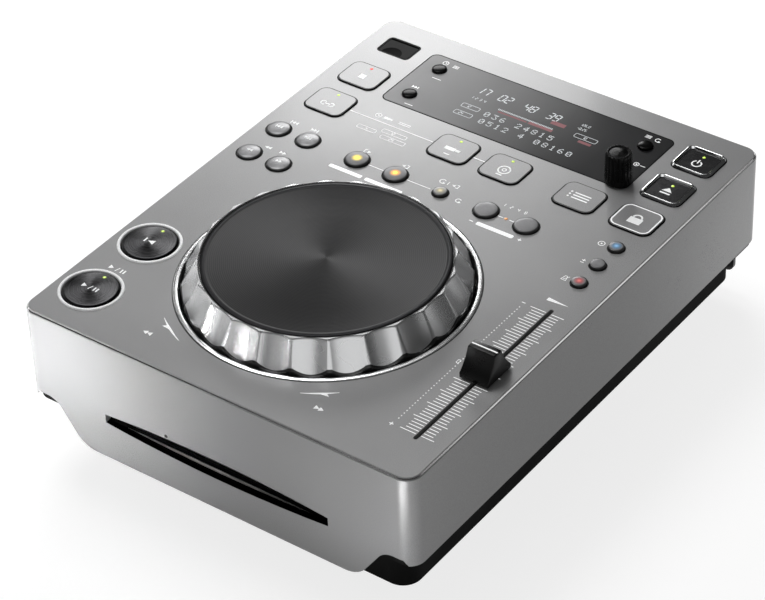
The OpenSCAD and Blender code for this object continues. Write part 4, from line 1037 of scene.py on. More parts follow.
@dataclass(frozen=True)
class FloorPaper:
    """Seamless pale paper that keeps shadows and shows white to the eye and to shiny metal."""

    name: str = "floor_paper"
    lit: float = 0.34
    lift: float = 0.79
    bounce: float = 0.20

    def make(self) -> bpy.types.Material:
        """Builds the material: seen rays get a white glow over dim paper, the rest plain paper."""
        g = Graph(self.name)
        fibre = g.noise(60.0, 5.0, 0.6)
        ray = g.add("ShaderNodeLightPath").outputs
        seen = g.math("MAXIMUM", g.math("MAXIMUM", ray["Is Camera Ray"], ray["Is Glossy Ray"]),
            ray["Is Transmission Ray"])
        shown = g.blend(g.spread(fibre), grey(self.lit * 0.985), grey(self.lit))
        g.set(Base_Color=g.blend(seen, grey(self.bounce), shown), Roughness=0.9, Specular_IOR_Level=0.0)
        g.set(Emission_Color=g.blend(seen, BLACK, WHITE), Emission_Strength=self.lift)
        return g.material


class FinishRack:
    """Makes each finish once and hands it out."""

    def __init__(self) -> None:
        """Starts with an empty rack."""
        self.made: dict[object, bpy.types.Material] = {}

    def of(self, finish: object) -> bpy.types.Material:
        """Returns the finish's material, made on first use."""
        if finish not in self.made:
            self.made[finish] = finish.make()
        return self.made[finish]


# ------------------------------------------------------------------ workshop


def surface_mesh(name: str, shape: Shape) -> bpy.types.Mesh:
    """Puts a shape into a mesh, whole arrays at a time.

    Args:
        name: the mesh's name.
        shape: the surface in panel millimetres, faces outwards.

    Returns:
        The mesh, with every face smooth.
    """
    corners = np.concatenate([block.ravel() for block in shape.faces]).astype(np.int32)
    sizes = np.concatenate([np.full(len(block), block.shape[1]) for block in shape.faces])
    starts = np.concatenate([[0], np.cumsum(sizes)[:-1]]).astype(np.int32)
    mesh = bpy.data.meshes.new(name)
    mesh.vertices.add(len(shape.points))
    mesh.vertices.foreach_set("co", metres(shape.points).astype(np.float32).ravel())
    mesh.loops.add(len(corners))
    mesh.loops.foreach_set("vertex_index", corners)
    mesh.polygons.add(len(starts))
    mesh.polygons.foreach_set("loop_start", starts)
    mesh.polygons.foreach_set("use_smooth", np.ones(len(starts), bool))
    mesh.update(calc_edges=True)
    return mesh


class Workshop:
    """Puts shapes into the scene, dresses CAD nodes, and keeps a list of both."""

    def __init__(self, frame: dict) -> None:
        """Keeps the loaded frame.
        """
        self.nodes = frame["nodes"]
        self.rack = FinishRack()
        self.dressed: set[str] = set()
        self.pieces: list[str] = []

    def piece(self, name: str, shape: Shape, finish: object, body: str, slot: str | None = None,
              stands_for: str | None = None, crease: float = 32.0) -> None:
        """Makes one piece of the model.

        Args:
            name: the piece's name.
            shape: its closed surface in panel millimetres.
            finish: the finish it gets.
            body: the CAD body it rides on.
            slot: the record's material slot it belongs to; not used.
            stands_for: the CAD node it replaces.
            crease: faces that meet at more than this many degrees keep a sharp edge.
        """
        mesh = surface_mesh(name, shape.outward())
        mesh.materials.append(self.rack.of(finish))
        mesh.set_sharp_from_angle(angle=math.radians(crease))
        made = bpy.data.objects.new(name, mesh)
        bpy.context.collection.objects.link(made)
        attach(made, body)
        if stands_for is not None:
            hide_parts(stands_for)
            self.dressed.add(stands_for)
        self.pieces.append(name)

    def dress(self, node: str, finish: object) -> None:
        """Gives a CAD node's slots one finish."""
        material = self.rack.of(finish)
        for held in self.nodes[node].material_slots:
            held.material = material
        self.dressed.add(node)

    def worn(self, node: str, reach: float = 0.0012) -> Worn:
        """Returns the node's box as the place where a finish is rubbed."""
        low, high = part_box(node)
        return Worn(tuple(round(v, 5) for v in low), tuple(round(v, 5) for v in high), reach)


@dataclass
class Assembly:
    """A group of pieces that share sizes; a subclass builds and dresses them."""

    shop: Workshop

    def build(self) -> None:
        """Builds the group's pieces."""
        raise NotImplementedError


# ------------------------------------------------------------------ case


@dataclass
class CaseShell(Assembly):
    """Silver top case, black base, feet, screws and the rear end."""

    outline: Triple = (218.0, 288.0, 8.0)
    slot_z: float = -44.4
    slot_half: float = 63.0
    slot_ends: float = 2.4
    slot_rise: float = 3.1

    def build(self) -> None:
        """Dresses the outer CAD nodes and adds the insulators, the slot's black felt of painted shade and the
        cut line.
        """
        shop = self.shop
        for node, finish in {
            "top_case": SatinPaint(worn=shop.worn("top_case", 0.0014)),
            "base_tub": Moulding("base_black", colour=grey(0.006), worn=shop.worn("base_tub", 0.002),
                rough=0.7, gloss=0.04),
            "rear_plate": Moulding("rear_plate_black", colour=(0.02, 0.02, 0.021), rough=0.42,
                worn=shop.worn("rear_plate")),
            "feet": Moulding("foot_rubber", colour=grey(0.013), rough=0.82, grain=0.0001, scale=700.0),
            "screws": SheetSteel("screw_steel", colour=(0.2, 0.2, 0.21), rough=0.32),
            "rear_sockets": SheetSteel("socket_plating", colour=(0.62, 0.61, 0.58), rough=0.22),
            "mains_inlet": Moulding("inlet_plastic", colour=grey(0.02), rough=0.5),
        }.items():
            shop.dress(node, finish)
        self.insulators()
        self.slot_lips()
        self.cut_edge()

    def insulators(self) -> None:
        """Coloured rings in the two line-out sockets: a ring turned about the y axis."""
        for name, x, colour in (("white", -22.0, (0.75, 0.75, 0.73)), ("red", -38.0, (0.55, 0.02, 0.015))):
            ring = turned([(1.9, 4.0), (3.1, 4.0), (3.1, 9.2), (2.9, 9.4), (2.1, 9.4), (1.9, 9.2)], 48,
                Ends.LOOPED)
            points = ring.points[:, [0, 2, 1]] * np.array([1.0, 1.0, -1.0]) + np.array([x, 146.0, -27.5])
            finish = Moulding(f"insulator_{name}", colour=colour, rough=0.35, grain=0.00002)
            sleeve = Shape(points, ring.faces)
            self.shop.piece(f"line_out_insulator_{name}", sleeve, finish, "case", "part_grey")

    def slot_lips(self) -> None:
        """Black felt strips that line the disc slot, above and below the disc's way in, made black enough to
        stand in for the shade inside the slot, partly lining and partly painted shade.

        Each strip's outer side follows the slot's edge: the half height is the ends' plus the
        middle's extra times one minus the square of x over the half width. It is 0.4 thick at the
        front, where it lines the cut, and thicker behind the wall, where it wipes the disc.
        """
        reach = self.slot_half - 0.2
        x = np.linspace(-reach, reach, 96)
        half = self.slot_ends + self.slot_rise * (1.0 - (x / self.slot_half) ** 2)
        front, inner, back, thin = -143.95, -141.4, -140.4, 0.4
        shade_felt = Moulding("slot_shade_felt", colour=grey(0.002), rough=0.95, gloss=0.0, grain=0.0002, scale=2200.0)
        for side, name in ((1.0, "upper"), (-1.0, "lower")):
            edge = self.slot_z + side * half
            wiper = self.slot_z + side * np.minimum(0.75, half - 0.6)
            lining = edge - side * thin
            rows = [(front, edge), (front, lining), (inner, lining), (back, wiper), (back, edge)]
            ring = [np.column_stack([x, np.full(len(x), y), z]) for y, z in rows]
            strip = loft(np.stack(ring, axis=1), Ends.CAPPED)
            self.shop.piece(f"slot_shade_felt_{name}", strip, shade_felt, "case", "foot_rubber")

    def cut_edge(self) -> None:
        """A bright cut line on the panel's bevel: a thin ring carried round the case's outline."""
        levels = [(-0.86, -0.34), (-0.42, -0.78), (-0.38, -0.74), (-0.82, -0.30)]
        ring = stacked(self.outline, levels, Ends.LOOPED, 16)
        bright = Plating("cut_edge", colour=grey(0.80), rough=0.16, haze=0.03)
        self.shop.piece("panel_cut_edge", ring, bright, "case", "silver_paint")


# ------------------------------------------------------------------ jog wheel


@dataclass
class JogWheel(Assembly):
    """Chrome scalloped wheel, spun top plate and the ring let into the panel."""

    centre: Pair = JOG_CENTRE
    top: float = 14.8
    ridge: float = 59.7
    skirt: float = 66.8
    slope: float = 0.545
    cone_end: float = 1.77
    bottom: float = -5.0
    plate: float = 57.3
    gap: float = 0.3
    scallop: float = 1.5
    scallops: int = 24
    trim_in: float = 67.4
    trim_out: float = 70.5
    trim_top: float = 0.6
    shadow_line_w: float = 0.42
    bore: float = 6.05
    hub: float = 12.0
    hub_h: float = 6.5
    web: float = 2.5
    wall: float = 2.0
    fine: int = 288

    def build(self) -> None:
        """Builds the wheel, the plate and the trim ring."""
        shop = self.shop
        chrome = WheelPlating(self.centre, self.ridge - 1.42, self.top - 0.12, self.skirt - 0.7)
        spun = SpunMetal("plate_black", self.centre, self.plate - 2.0, colour=(0.024, 0.024, 0.0245),
            metal=0.7, rough=0.38, fan=0.75, gloss=0.1)
        trim = Plating("trim_plating", colour=(0.84, 0.845, 0.85), rough=0.24, haze=0.03, peel=0.000002)
        # Painted shadow: a black hairline ring stands in for the shadow gap between the trim ring and the
        # panel.
        shadow_line = washer(self.trim_out, self.trim_out + self.shadow_line_w, 0.0, 0.03, 240)
        trim_shadow_black = Moulding("trim_shadow_black", colour=grey(0.01), rough=0.7)
        wheel = self.wheel_shape().moved(*self.centre)
        shop.piece("jog_skirt", wheel, chrome, "jog", "jog_chrome", "jog_wheel", 26.0)
        plate_top, lip = self.plate_shape().moved(*self.centre), self.trim_shape().moved(*self.centre)
        shop.piece("jog_top_plate", plate_top, spun, "jog_top", "jog_black", "jog_plate")
        shop.piece("jog_trim_ring", lip, trim, "case", "trim_chrome", "jog_trim")
        shop.piece("jog_trim_shadow_line", shadow_line.moved(*self.centre), trim_shadow_black, "case", "black_plastic")
        shop.dress("jog_spindle", SheetSteel("spindle_steel", colour=grey(0.5), rough=0.25))
        shop.dress("jog_bracket", SheetSteel("bracket_steel", colour=(0.42, 0.42, 0.4), rough=0.4))

    def groove_radius(self) -> float:
        """Radius of the round hollows: the circle through a hollow's depth and its two ridges."""
        half = self.ridge * math.sin(math.pi / self.scallops)
        deep = self.scallop - self.ridge * (1.0 - math.cos(math.pi / self.scallops))
        return (half * half + deep * deep) / (2.0 * deep)

    def hollowed(self, radius: np.ndarray, height: np.ndarray, angle: np.ndarray) -> np.ndarray:
        """Radius of the outer surface with the hollows cut in it.

        A hollow is part of a cylinder of the groove's radius whose axis runs parallel to the cone.
        A point at radius r and angle a from the hollow's middle is r sin a off the middle plane, and
        its distance along the cone's normal has to be the axis's less the root of the groove's
        radius squared less (r sin a) squared; r is found by repeating that sum.

        Args:
            radius: the plain surface's radius, shape (rows, 1).
            height: the rows' heights, shape (rows, 1).
            angle: the columns' angles, shape (1, columns).

        Returns:
            The lesser of the plain radius and the hollow's, shape (rows, columns).
        """
        step = TURN / self.scallops
        off = (angle + step / 2.0) % step - step / 2.0
        tilt = math.atan(self.slope)
        groove = self.groove_radius()
        axis = (self.ridge - self.scallop) * math.cos(tilt) + self.top * math.sin(tilt) + groove
        found = np.broadcast_to(radius, (len(radius), angle.shape[1])).copy()
        for _ in range(6):
            across = found * np.sin(off)
            reach = axis - np.sqrt(groove**2 - across**2) - height * math.sin(tilt)
            found = reach / (np.cos(off) * math.cos(tilt))
        return np.minimum(radius, found)

    def wheel_shape(self) -> Shape:
        """The wheel as one ring: web, bore wall, hollowed cone and skirt, and its inner wall."""
        columns = 32 * self.scallops
        angle = (np.arange(columns) * TURN / columns)[None, :]
        heights = np.linspace(self.top - 0.25, self.cone_end, 20)
        cone = [(self.ridge + (self.top - z) * self.slope, z) for z in heights]
        outer = cone + [(self.skirt, z) for z in np.linspace(self.cone_end - 0.3, self.bottom, 12)]
        inner_r = self.skirt - self.wall - self.scallop
        web_top = self.top - self.wall - 0.5 - self.gap
        under, foot = web_top - self.web, web_top - self.hub_h
        seat = self.plate + self.gap
        lead = [(self.bore, foot), (self.bore, web_top), (seat, web_top), (seat, self.top - 0.2),
            (seat + 0.2, self.top)]
        tail = [(inner_r, self.bottom), (inner_r, self.cone_end),
            (inner_r - (under - self.cone_end) * self.slope, under),
                (self.hub, under), (self.hub, foot)]
        crown = [(self.ridge - 0.25, self.top)]
        profile = np.array(lead + crown + outer + tail)
        radius, height = profile[:, :1], profile[:, 1:]
        wide = np.broadcast_to(radius, (len(profile), columns)).copy()
        first, last = len(lead), len(lead) + len(crown) + len(outer)
        wide[first:last] = self.hollowed(radius[first:last], height[first:last], angle)
        wide[first] -= 0.1
        level = np.broadcast_to(height, wide.shape)
        rows = np.stack([wide * np.cos(angle), wide * np.sin(angle), level], axis=-1)
        return loft(rows, Ends.LOOPED)

    def plate_shape(self) -> Shape:
        """The top plate: a disc with a low rounded rim and a face sunk a little inside it."""
        r, t = self.plate, self.top
        wall = [(0.0, t - self.wall), (r - 0.2, t - self.wall), (r, t - 1.8), (r, t - 0.45)]
        rim = [(r - 0.12, t - 0.16), (r - 0.4, t), (r - 1.9, t), (r - 2.3, t - 0.08), (r - 2.8, t - 0.28)]
        face = [(r - 3.1, t - 0.3), (r - 20.0, t - 0.3), (0.0, t - 0.3)]
        return turned([*wall, *rim, *face], self.fine)

    def trim_shape(self) -> Shape:
        """The trim ring: a wall down beside the wheel and a lip that rests on the panel."""
        a, b, h = self.trim_in, self.trim_out, self.trim_top
        wall = [(a, -6.0), (a + 1.0, -6.0), (a + 1.0, -1.4), (b, -1.4), (b, h - 0.45)]
        lip = [(b - 0.12, h - 0.14), (b - 0.4, h), (a + 1.2, h), (a + 0.9, h - 0.12), (a, h - 1.6)]
        return turned([*wall, *lip], self.fine, Ends.LOOPED)


# ------------------------------------------------------------------ keys


class KeyForm(Enum):
    """The shapes that a round key's face has."""

    DOME = "a full dome with a round shoulder"
    LOW = "a nearly flat face with a round shoulder"
    DISH = "a large shallow dome inside a bevelled rim"


@dataclass(frozen=True)
class RoundKey:
    """A round key: its node, place, radius, form and finish."""

    node: str
    x: float
    y: float
    r: float
    form: KeyForm
    finish: object
    slot: str


@dataclass
class RoundKeys(Assembly):
    """Every round key on the panel, with flange and stem, and the two bright rings."""

    big_r: float = 6.0
    small_r: float = 3.7
    crown: float = 1.6
    ring_bore: float = 13.9
    ring_w: float = 1.5
    ring_h: float = 0.7
    transport_x: float = -89.6
    cue_y: float = -74.3
    play_y: float = -116.4

    def keys(self) -> list[RoundKey]:
        """Returns the list of keys with their finishes."""
        found = []

        def add(name: str, place: Pair, r: float, form: KeyForm, finish: object,
                slot: str = "key_dome") -> None:
            """Adds a key to the list."""
            found.append(RoundKey(name, *place, r, form, finish, slot))

        for name, place in self.silver_places().items():
            resin = DomedResin(f"{name}_resin", place, self.big_r, colour=(0.235, 0.235, 0.24), metal=0.25,
                rough=0.34, coat=0.08)
            add(name, place, self.big_r, KeyForm.DOME, resin)
        for name, x in (("beat_minus", 26.1), ("beat_plus", 48.6)):
            matt = DomedResin(f"{name}_resin", (x, LOOP_ROW), self.big_r, colour=(0.145, 0.145, 0.15),
                metal=0.1, rough=0.4, coat=0.12)
            add(name, (x, LOOP_ROW), self.big_r, KeyForm.LOW, matt)
        for name, x, lamp in (("loop_in", -48.6, (0.66, 0.48, 0.02)), ("loop_out", -26.1, (0.72, 0.30, 0.02))):
            lit = DomedResin(f"{name}_resin", (x, LOOP_ROW), self.big_r, colour=(0.10, 0.10, 0.105), metal=0.1,
                             rough=0.38, lamp=lamp, core=(1.0, 0.80, 0.06), reach=0.36, coat=0.12)
            add(name, (x, LOOP_ROW), self.big_r, KeyForm.LOW, lit)
        for name, place, lamp, core, glow in (
            ("reloop", (0.0, LOOP_ROW), (0.24, 0.22, 0.13), (0.62, 0.52, 0.28), 0.12),
            ("vinyl", (92.4, 40.8), (0.07, 0.20, 0.36), (0.22, 0.44, 0.70), 0.22),
            ("tempo_range", (92.4, 25.2), None, WHITE, 0.0),
            ("master_tempo", (92.4, 9.6), (0.34, 0.045, 0.05), (0.70, 0.16, 0.15), 0.22),
        ):
            resin = DomedResin(f"{name}_resin", place, self.small_r, colour=(0.17, 0.17, 0.175), metal=0.15,
                               rough=0.34, lamp=lamp, core=core, reach=0.56, glow=glow, coat=0.15)
            add(name, place, self.small_r, KeyForm.LOW, resin)
        gloss = Moulding("gloss_black_key", colour=grey(0.003), rough=0.2, grain=0.000005, gloss=0.08)
        for name, place in (("time", (-60.3, 116.9)), ("auto_cue", (-60.3, 91.3)), ("back", (60.3, 116.9))):
            add(name, place, self.small_r, KeyForm.DOME, gloss, "key_black")
        for name, place in self.transport().items():
            spun = SpunMetal(f"{name}_spun_black", place, 12.5, colour=(0.056, 0.056, 0.058), metal=1.0,
                             rough=0.28, pitch=0.0006, fan=0.97, gloss=0.1)
            add(name, place, 13.6, KeyForm.DISH, spun, "key_black")
        return found

    def silver_places(self) -> dict[str, Pair]:
        """Returns the places of the four search keys."""
        rows, sides = (("track", LOOP_ROW), ("search", 8.7)), (("back", -96.0), ("forward", -78.2))
        return {f"{kind}_{way}": (x, y) for kind, y in rows for way, x in sides}

    def transport(self) -> dict[str, Pair]:
        """Returns the places of the two large keys."""
        return {"cue": (self.transport_x, self.cue_y), "play": (self.transport_x, self.play_y)}

    def face(self, key: RoundKey) -> list[Pair]:
        """Profile of a key's face from its flange up to its middle.

        A dome's or low face's height above its shoulder is its rise times the root of one less
        (r / R) to a power, higher for the low one; a dish is a bevel and then a shallow bowl turned
        over, whose height falls with the square of the radius.
        """
        r = key.r
        if key.form is KeyForm.DISH:
            share = np.linspace(1.0, 0.0, 18)
            inner = r - 1.15
            heights = 0.80 + 0.66 * (1.0 - share**2)
            return [(r, -0.35), (r, -0.1), (r - 0.16, 0.12), (inner + 0.12, 0.72),
                *zip((share * inner).tolist(), heights.tolist())]
        power = 2.3 if key.form is KeyForm.DOME else 3.6
        edge = self.crown - (0.19 if key.form is KeyForm.DOME else 0.13) * r
        share = np.sin(np.linspace(0.0, math.pi / 2, 18))[::-1]
        heights = edge + (self.crown - edge) * (1.0 - share**power) ** (1.0 / power)
        return [(r, edge - 0.3), *zip((share * r).tolist(), heights.tolist())]

    def build(self) -> None:
        """Builds the keys, the painted shade in their wells, lamps and marks, and the bright rings."""
        for key in self.keys():
            foot = [(0.0, STEM_Z), (STEM_R, STEM_Z), (STEM_R, FLANGE_Z), (key.r + 1.0, FLANGE_Z),
                    (key.r + 1.0, FLANGE_Z + FLANGE_T), (key.r, FLANGE_Z + FLANGE_T)]
            shape = turned([*foot, *self.face(key)], 96).moved(key.x, key.y)
            self.shop.piece(f"{key.node}_button", shape, key.finish, key.node, key.slot, f"{key.node}_key",
                40.0)
        self.well_shades()
        self.rings()
        self.marks()

    def well_shades(self) -> None:
        """Thin black rings of painted shade round the silver keys' holes, standing in for the shade in the
        wells.
        """
        black = Moulding("well_shade_black", colour=grey(0.006), rough=0.6, gloss=0.2)
        made = [washer(k.r + 0.25, k.r + 0.7, -0.6, 0.05, 72).moved(k.x,
            k.y) for k in self.keys() if k.slot == "key_dome"]
        self.shop.piece("key_well_shade_rings", merge(made), black, "case", "black_plastic")

    def rings(self) -> None:
        """The bright rings round CUE and PLAY, each a turned ring with rounded top edges."""
        a, b, h = self.ring_bore, self.ring_bore + self.ring_w, self.ring_h
        wall = [(a, -2.5), (a + 0.7, -2.5), (a + 0.7, 0.0), (b, 0.0)]
        outer, inner = [(b - 0.06, h - 0.36), (b - 0.3, h - 0.04), (b - 0.45, h)], [(a + 0.45, h),
            (a + 0.2, h - 0.06)]
        # Painted light: the enamel glows a little to keep the rings white.
        enamel = Ink("ring_enamel", colour=(0.86, 0.865, 0.87), rough=0.28, glow=0.12)
        for name, place in self.transport().items():
            ring = turned([*wall, *outer, *inner, (a, h - 0.3)], 180, Ends.LOOPED).moved(*place)
            self.shop.piece(f"{name}_ring", ring, enamel, "case", "trim_chrome")

    def marks(self) -> None:
        """Symbols on the keys and the two green lamps, all riding on their keys."""
        dish_top = 1.5
        draw = Symbols(dish_top - 0.16, dish_top)
        x = self.transport_x
        start = [draw.bar(x - 2.4, self.cue_y, 0.4, 1.5), draw.wedge(x + 2.6, self.cue_y, -1.0, 3.4, 1.6)]
        for name, parts in (("play", draw.play_pause(x - 0.2, self.play_y)), ("cue", start)):
            self.shop.piece(f"{name}_mark", merge(parts), KEY_INK, name, "key_black")
        for name, (x, y) in self.transport().items():
            lens = turned([(0.0, 0.3), (0.95, 0.3), (0.95, 1.02), (0.8, 1.16), (0.45, 1.26), (0.0, 1.3)], 32)
            green = Diode(f"{name}_lamp_green", (x, y + 9.6), 0.95, (0.20, 0.30, 0.01), (0.80, 1.0, 0.25), 0.7)
            self.shop.piece(f"{name}_lamp", lens.moved(x, y + 9.6), green, name, "key_black")
        draw = Symbols(self.crown - 0.1, self.crown + 0.04)
        for name, (x, y) in self.silver_places().items():
            mark = draw.skip if name.startswith("track") else draw.rush
            parts = mark(x, y + 0.4, -1.0 if name.endswith("back") else 1.0, 0.9)
            self.shop.piece(f"{name}_mark", merge(parts), KEY_INK, name, "key_dome")


@dataclass(frozen=True)
class SquareKey:
    """A square key: its node, place, lamp place and colours."""

    node: str
    x: float
    y: float
    framed: bool = False
    lamp: tuple[float, float, Colour, Colour] | None = None


GREEN = ((0.30, 0.42, 0.03), (0.70, 0.95, 0.18))
RED = ((0.6, 0.01, 0.01), (1.0, 0.12, 0.06))


@dataclass
class SquareKeys(Assembly):
    """Flat square keys, the two framed keys, their chrome frames, the painted shade in their gaps, lamps and
    symbols.
    """

    width: float = 22.0
    depth: float = 19.0
    corner: float = 4.5
    top: float = 0.8
    frame_w: float = 21.5
    frame_d: float = 20.0
    frame_h: float = 1.6
    frame_corner: float = 4.0
    framed_size: Triple = (17.1, 15.6, 2.0)
    framed_top: float = 0.5

    def keys(self) -> list[SquareKey]:
        """Returns the square keys."""
        return [
            SquareKey("stop", -88.5, 91.9, lamp=(-88.5, 98.4, *RED)),
            SquareKey("link", -88.5, SOURCE_ROW, lamp=(-88.5, 70.8, *GREEN)),
            SquareKey("stick_source", -15.0, SOURCE_ROW, lamp=(-15.0, 70.9, *GREEN)),
            SquareKey("disc_source", 15.0, SOURCE_ROW, lamp=(15.0, 70.9, *GREEN)),
            SquareKey("playlist", 57.0, SOURCE_ROW), SquareKey("tempo_lock", 88.5, SOURCE_ROW),
            SquareKey("power", 88.5, 119.5, True, (88.9, 123.6, *GREEN)),
            SquareKey("eject", 88.5, 91.9, True, (88.7, 95.8, *GREEN)),
        ]

    def build(self) -> None:
        """Builds every square key with what belongs to it."""
        for key in self.keys():
            self.button(key)
            if key.framed:
                self.chrome_frame(key)
            if key.lamp is not None:
                self.lens(key)
        self.gaps()
        self.edges()
        self.symbols()

    def button(self, key: SquareKey) -> None:
        """A key: stem, flange and a plate with rounded upper edges, each row a grown outline."""
        size = self.framed_size if key.framed else (self.width, self.depth, self.corner)
        top = self.framed_top if key.framed else self.top
        flange_top = FLANGE_Z + FLANGE_T
        foot = [(1.0, FLANGE_Z), (1.0, flange_top), (0.0, flange_top), (0.0, top - 0.2)]
        rim = [(-0.05, top - 0.08), (-0.14, top - 0.02), (-0.24, top), (-0.27, top), (-2.0, top)]
        cap = stacked(size, [*foot, *rim])
        stem = turned([(0.0, STEM_Z), (STEM_R, STEM_Z), (STEM_R, FLANGE_Z + 0.1), (0.0, FLANGE_Z + 0.1)], 32)
        if key.framed:
            finish: object = Moulding("framed_key_black", colour=(0.022, 0.022, 0.023), rough=0.2,
                grain=0.00001, gloss=0.5)
        else:
            # The pad's sides are painted black below its top: painted shade of the gap round the key.
            finish = SatinPaint("pad_silver", colour=(0.295, 0.295, 0.297), painted_shade_under=self.top - 0.16)
        self.shop.piece(f"{key.node}_button", merge([cap, stem]).moved(key.x, key.y), finish, key.node,
                        "key_black" if key.framed else "key_silver", f"{key.node}_key", 34.0)

    def chrome_frame(self, key: SquareKey) -> None:
        """A bevelled frame: a closed profile carried round the rounded outline."""
        h = self.frame_h
        outer = [(-1.0, -2.5), (-1.0, 0.0), (0.0, 0.0), (0.0, 0.5), (-0.2, 0.8), (-0.62, 1.35),
            (-0.78, h - 0.06)]
        inner = [(-0.95, h), (-1.2, h), (-1.38, h - 0.1), (-1.84, 0.5), (-1.9, 0.35), (-1.9, -2.5)]
        size = (self.frame_w, self.frame_d, self.frame_corner)
        frame = stacked(size, [*outer, *inner], Ends.LOOPED, 12).moved(key.x, key.y)
        chrome = Plating("frame_chrome", colour=(0.62, 0.625, 0.63), rough=0.1, haze=0.03)
        stands_for = "key_rings" if key.node == "power" else None
        self.shop.piece(f"{key.node}_frame", frame, chrome, "case", "trim_chrome", stands_for, 24.0)

    def lens(self, key: SquareKey) -> None:
        """A low lamp lens set in the key's face."""
        x, y, colour, core = key.lamp
        top = self.framed_top if key.framed else self.top
        dome = [(0.8, top), (0.66, top + 0.12), (0.35, top + 0.2), (0.0, top + 0.22)]
        shape = turned([(0.0, top - 0.4), (0.8, top - 0.4), *dome], 28)
        lit = Diode(f"{key.node}_lamp_lens", (x, y), 0.8, colour, core, 1.0)
        self.shop.piece(f"{key.node}_lamp", shape.moved(x, y), lit, key.node, "key_black")

    def gaps(self) -> None:
        """Black lines of painted shade round the square keys, a thin frame just outside each key's hole,
        standing in for the shade in the gap.
        """
        made = []
        for framed, size, near, far in (
            (False, (self.width, self.depth, self.corner), 0.2, 0.68),
            (True, (self.frame_w, self.frame_d, self.frame_corner), 0.0, 0.5),
        ):
            line = border(size, near, far, 0.0, 0.04)
            made += [line.moved(key.x, key.y) for key in self.keys() if key.framed is framed]
        black = Moulding("gap_shade_black", colour=grey(0.004), rough=0.7, gloss=0.03)
        self.shop.piece("key_gap_shade_lines", merge(made), black, "case", "black_plastic")

    def edges(self) -> None:
        """A thin black line of painted shade round each flat key's face, where its edge meets the gap, and the
        tempo lock's white outline inside it.
        """
        low, high = self.top - 0.1, self.top + 0.03

        def line(key: SquareKey, outer: float, inner: float) -> Shape:
            """A flat ring between two offsets of a key's outline."""
            ring = border((self.width, self.depth, self.corner), -outer, -inner, low, high)
            return ring.moved(key.x, key.y)

        black = Moulding("edge_black", colour=grey(0.006), rough=0.6, gloss=0.2)
        for key in self.keys():
            if not key.framed:
                # Painted shade: the black line stands in for the shade at the key's edge.
                self.shop.piece(f"{key.node}_edge", line(key, 0.14, 0.46), black, key.node, "key_silver")
                if key.node == "tempo_lock":
                    # The outline's ink carries the ink's painted glow.
                    white = Ink("outline_white", rough=0.35)
                    self.shop.piece("tempo_lock_outline", line(key, 0.52, 1.3), white, key.node, "key_silver")

    def symbols(self) -> None:
        """Plain symbols on the keys' faces."""
        draw = Symbols(self.top - 0.05, self.top + 0.03)
        marks = {
            "disc_source": [draw.ring(15.3, 63.0, 3.0, 0.7), draw.ring(15.3, 63.0, 1.0, 0.5),
                draw.bar(15.0, 58.6, 1.6, 0.4)],
            "stick_source": [draw.bar(-16.4, 63.4, 2.9, 1.25), draw.bar(-12.0, 63.4, 1.3, 0.8),
                draw.bar(-15.4, 58.8, 1.6, 0.4)],
            "playlist": [draw.bar(57.9, y, 4.4, 0.42) for y in (66.3, 64.3, 62.3)] + [draw.dot(51.6, y,
                0.55) for y in (66.3, 64.3, 62.3)],
            "tempo_lock": [draw.bar(88.5, 62.6, 3.4, 2.2), draw.ring(88.5, 65.0, 2.2, 0.9, 0.0, 180.0)],
            "link": [draw.bar(-88.7, 61.8, 1.3, 0.34), draw.ring(-90.9, 61.8, 1.5, 0.55, 50.0, 310.0),
                draw.ring(-86.5, 61.8, 1.5, 0.55, -130.0, 130.0)],
            "stop": [draw.bar(-88.5, 90.6, 1.7, 1.7)],
        }
        for name, parts in marks.items():
            self.shop.piece(f"{name}_mark", merge(parts), KEY_INK, name, "key_silver")
        draw = Symbols(self.framed_top - 0.04, self.framed_top + 0.03)
        power = [draw.ring(88.5, 117.4, 2.3, 0.72, 118.0, 422.0), draw.bar(88.5, 119.3, 0.36, 1.5)]
        roof = plate(np.array([[85.7, 90.6], [91.1, 90.6], [88.4, 93.6]]), draw.low, draw.high)
        for name, parts in (("power", power), ("eject", [roof, draw.bar(88.4, 89.0, 2.7, 0.5)])):
            self.shop.piece(f"{name}_mark", merge(parts), KEY_INK, name, "key_black")


# ------------------------------------------------------------------ display, knob, slider, door


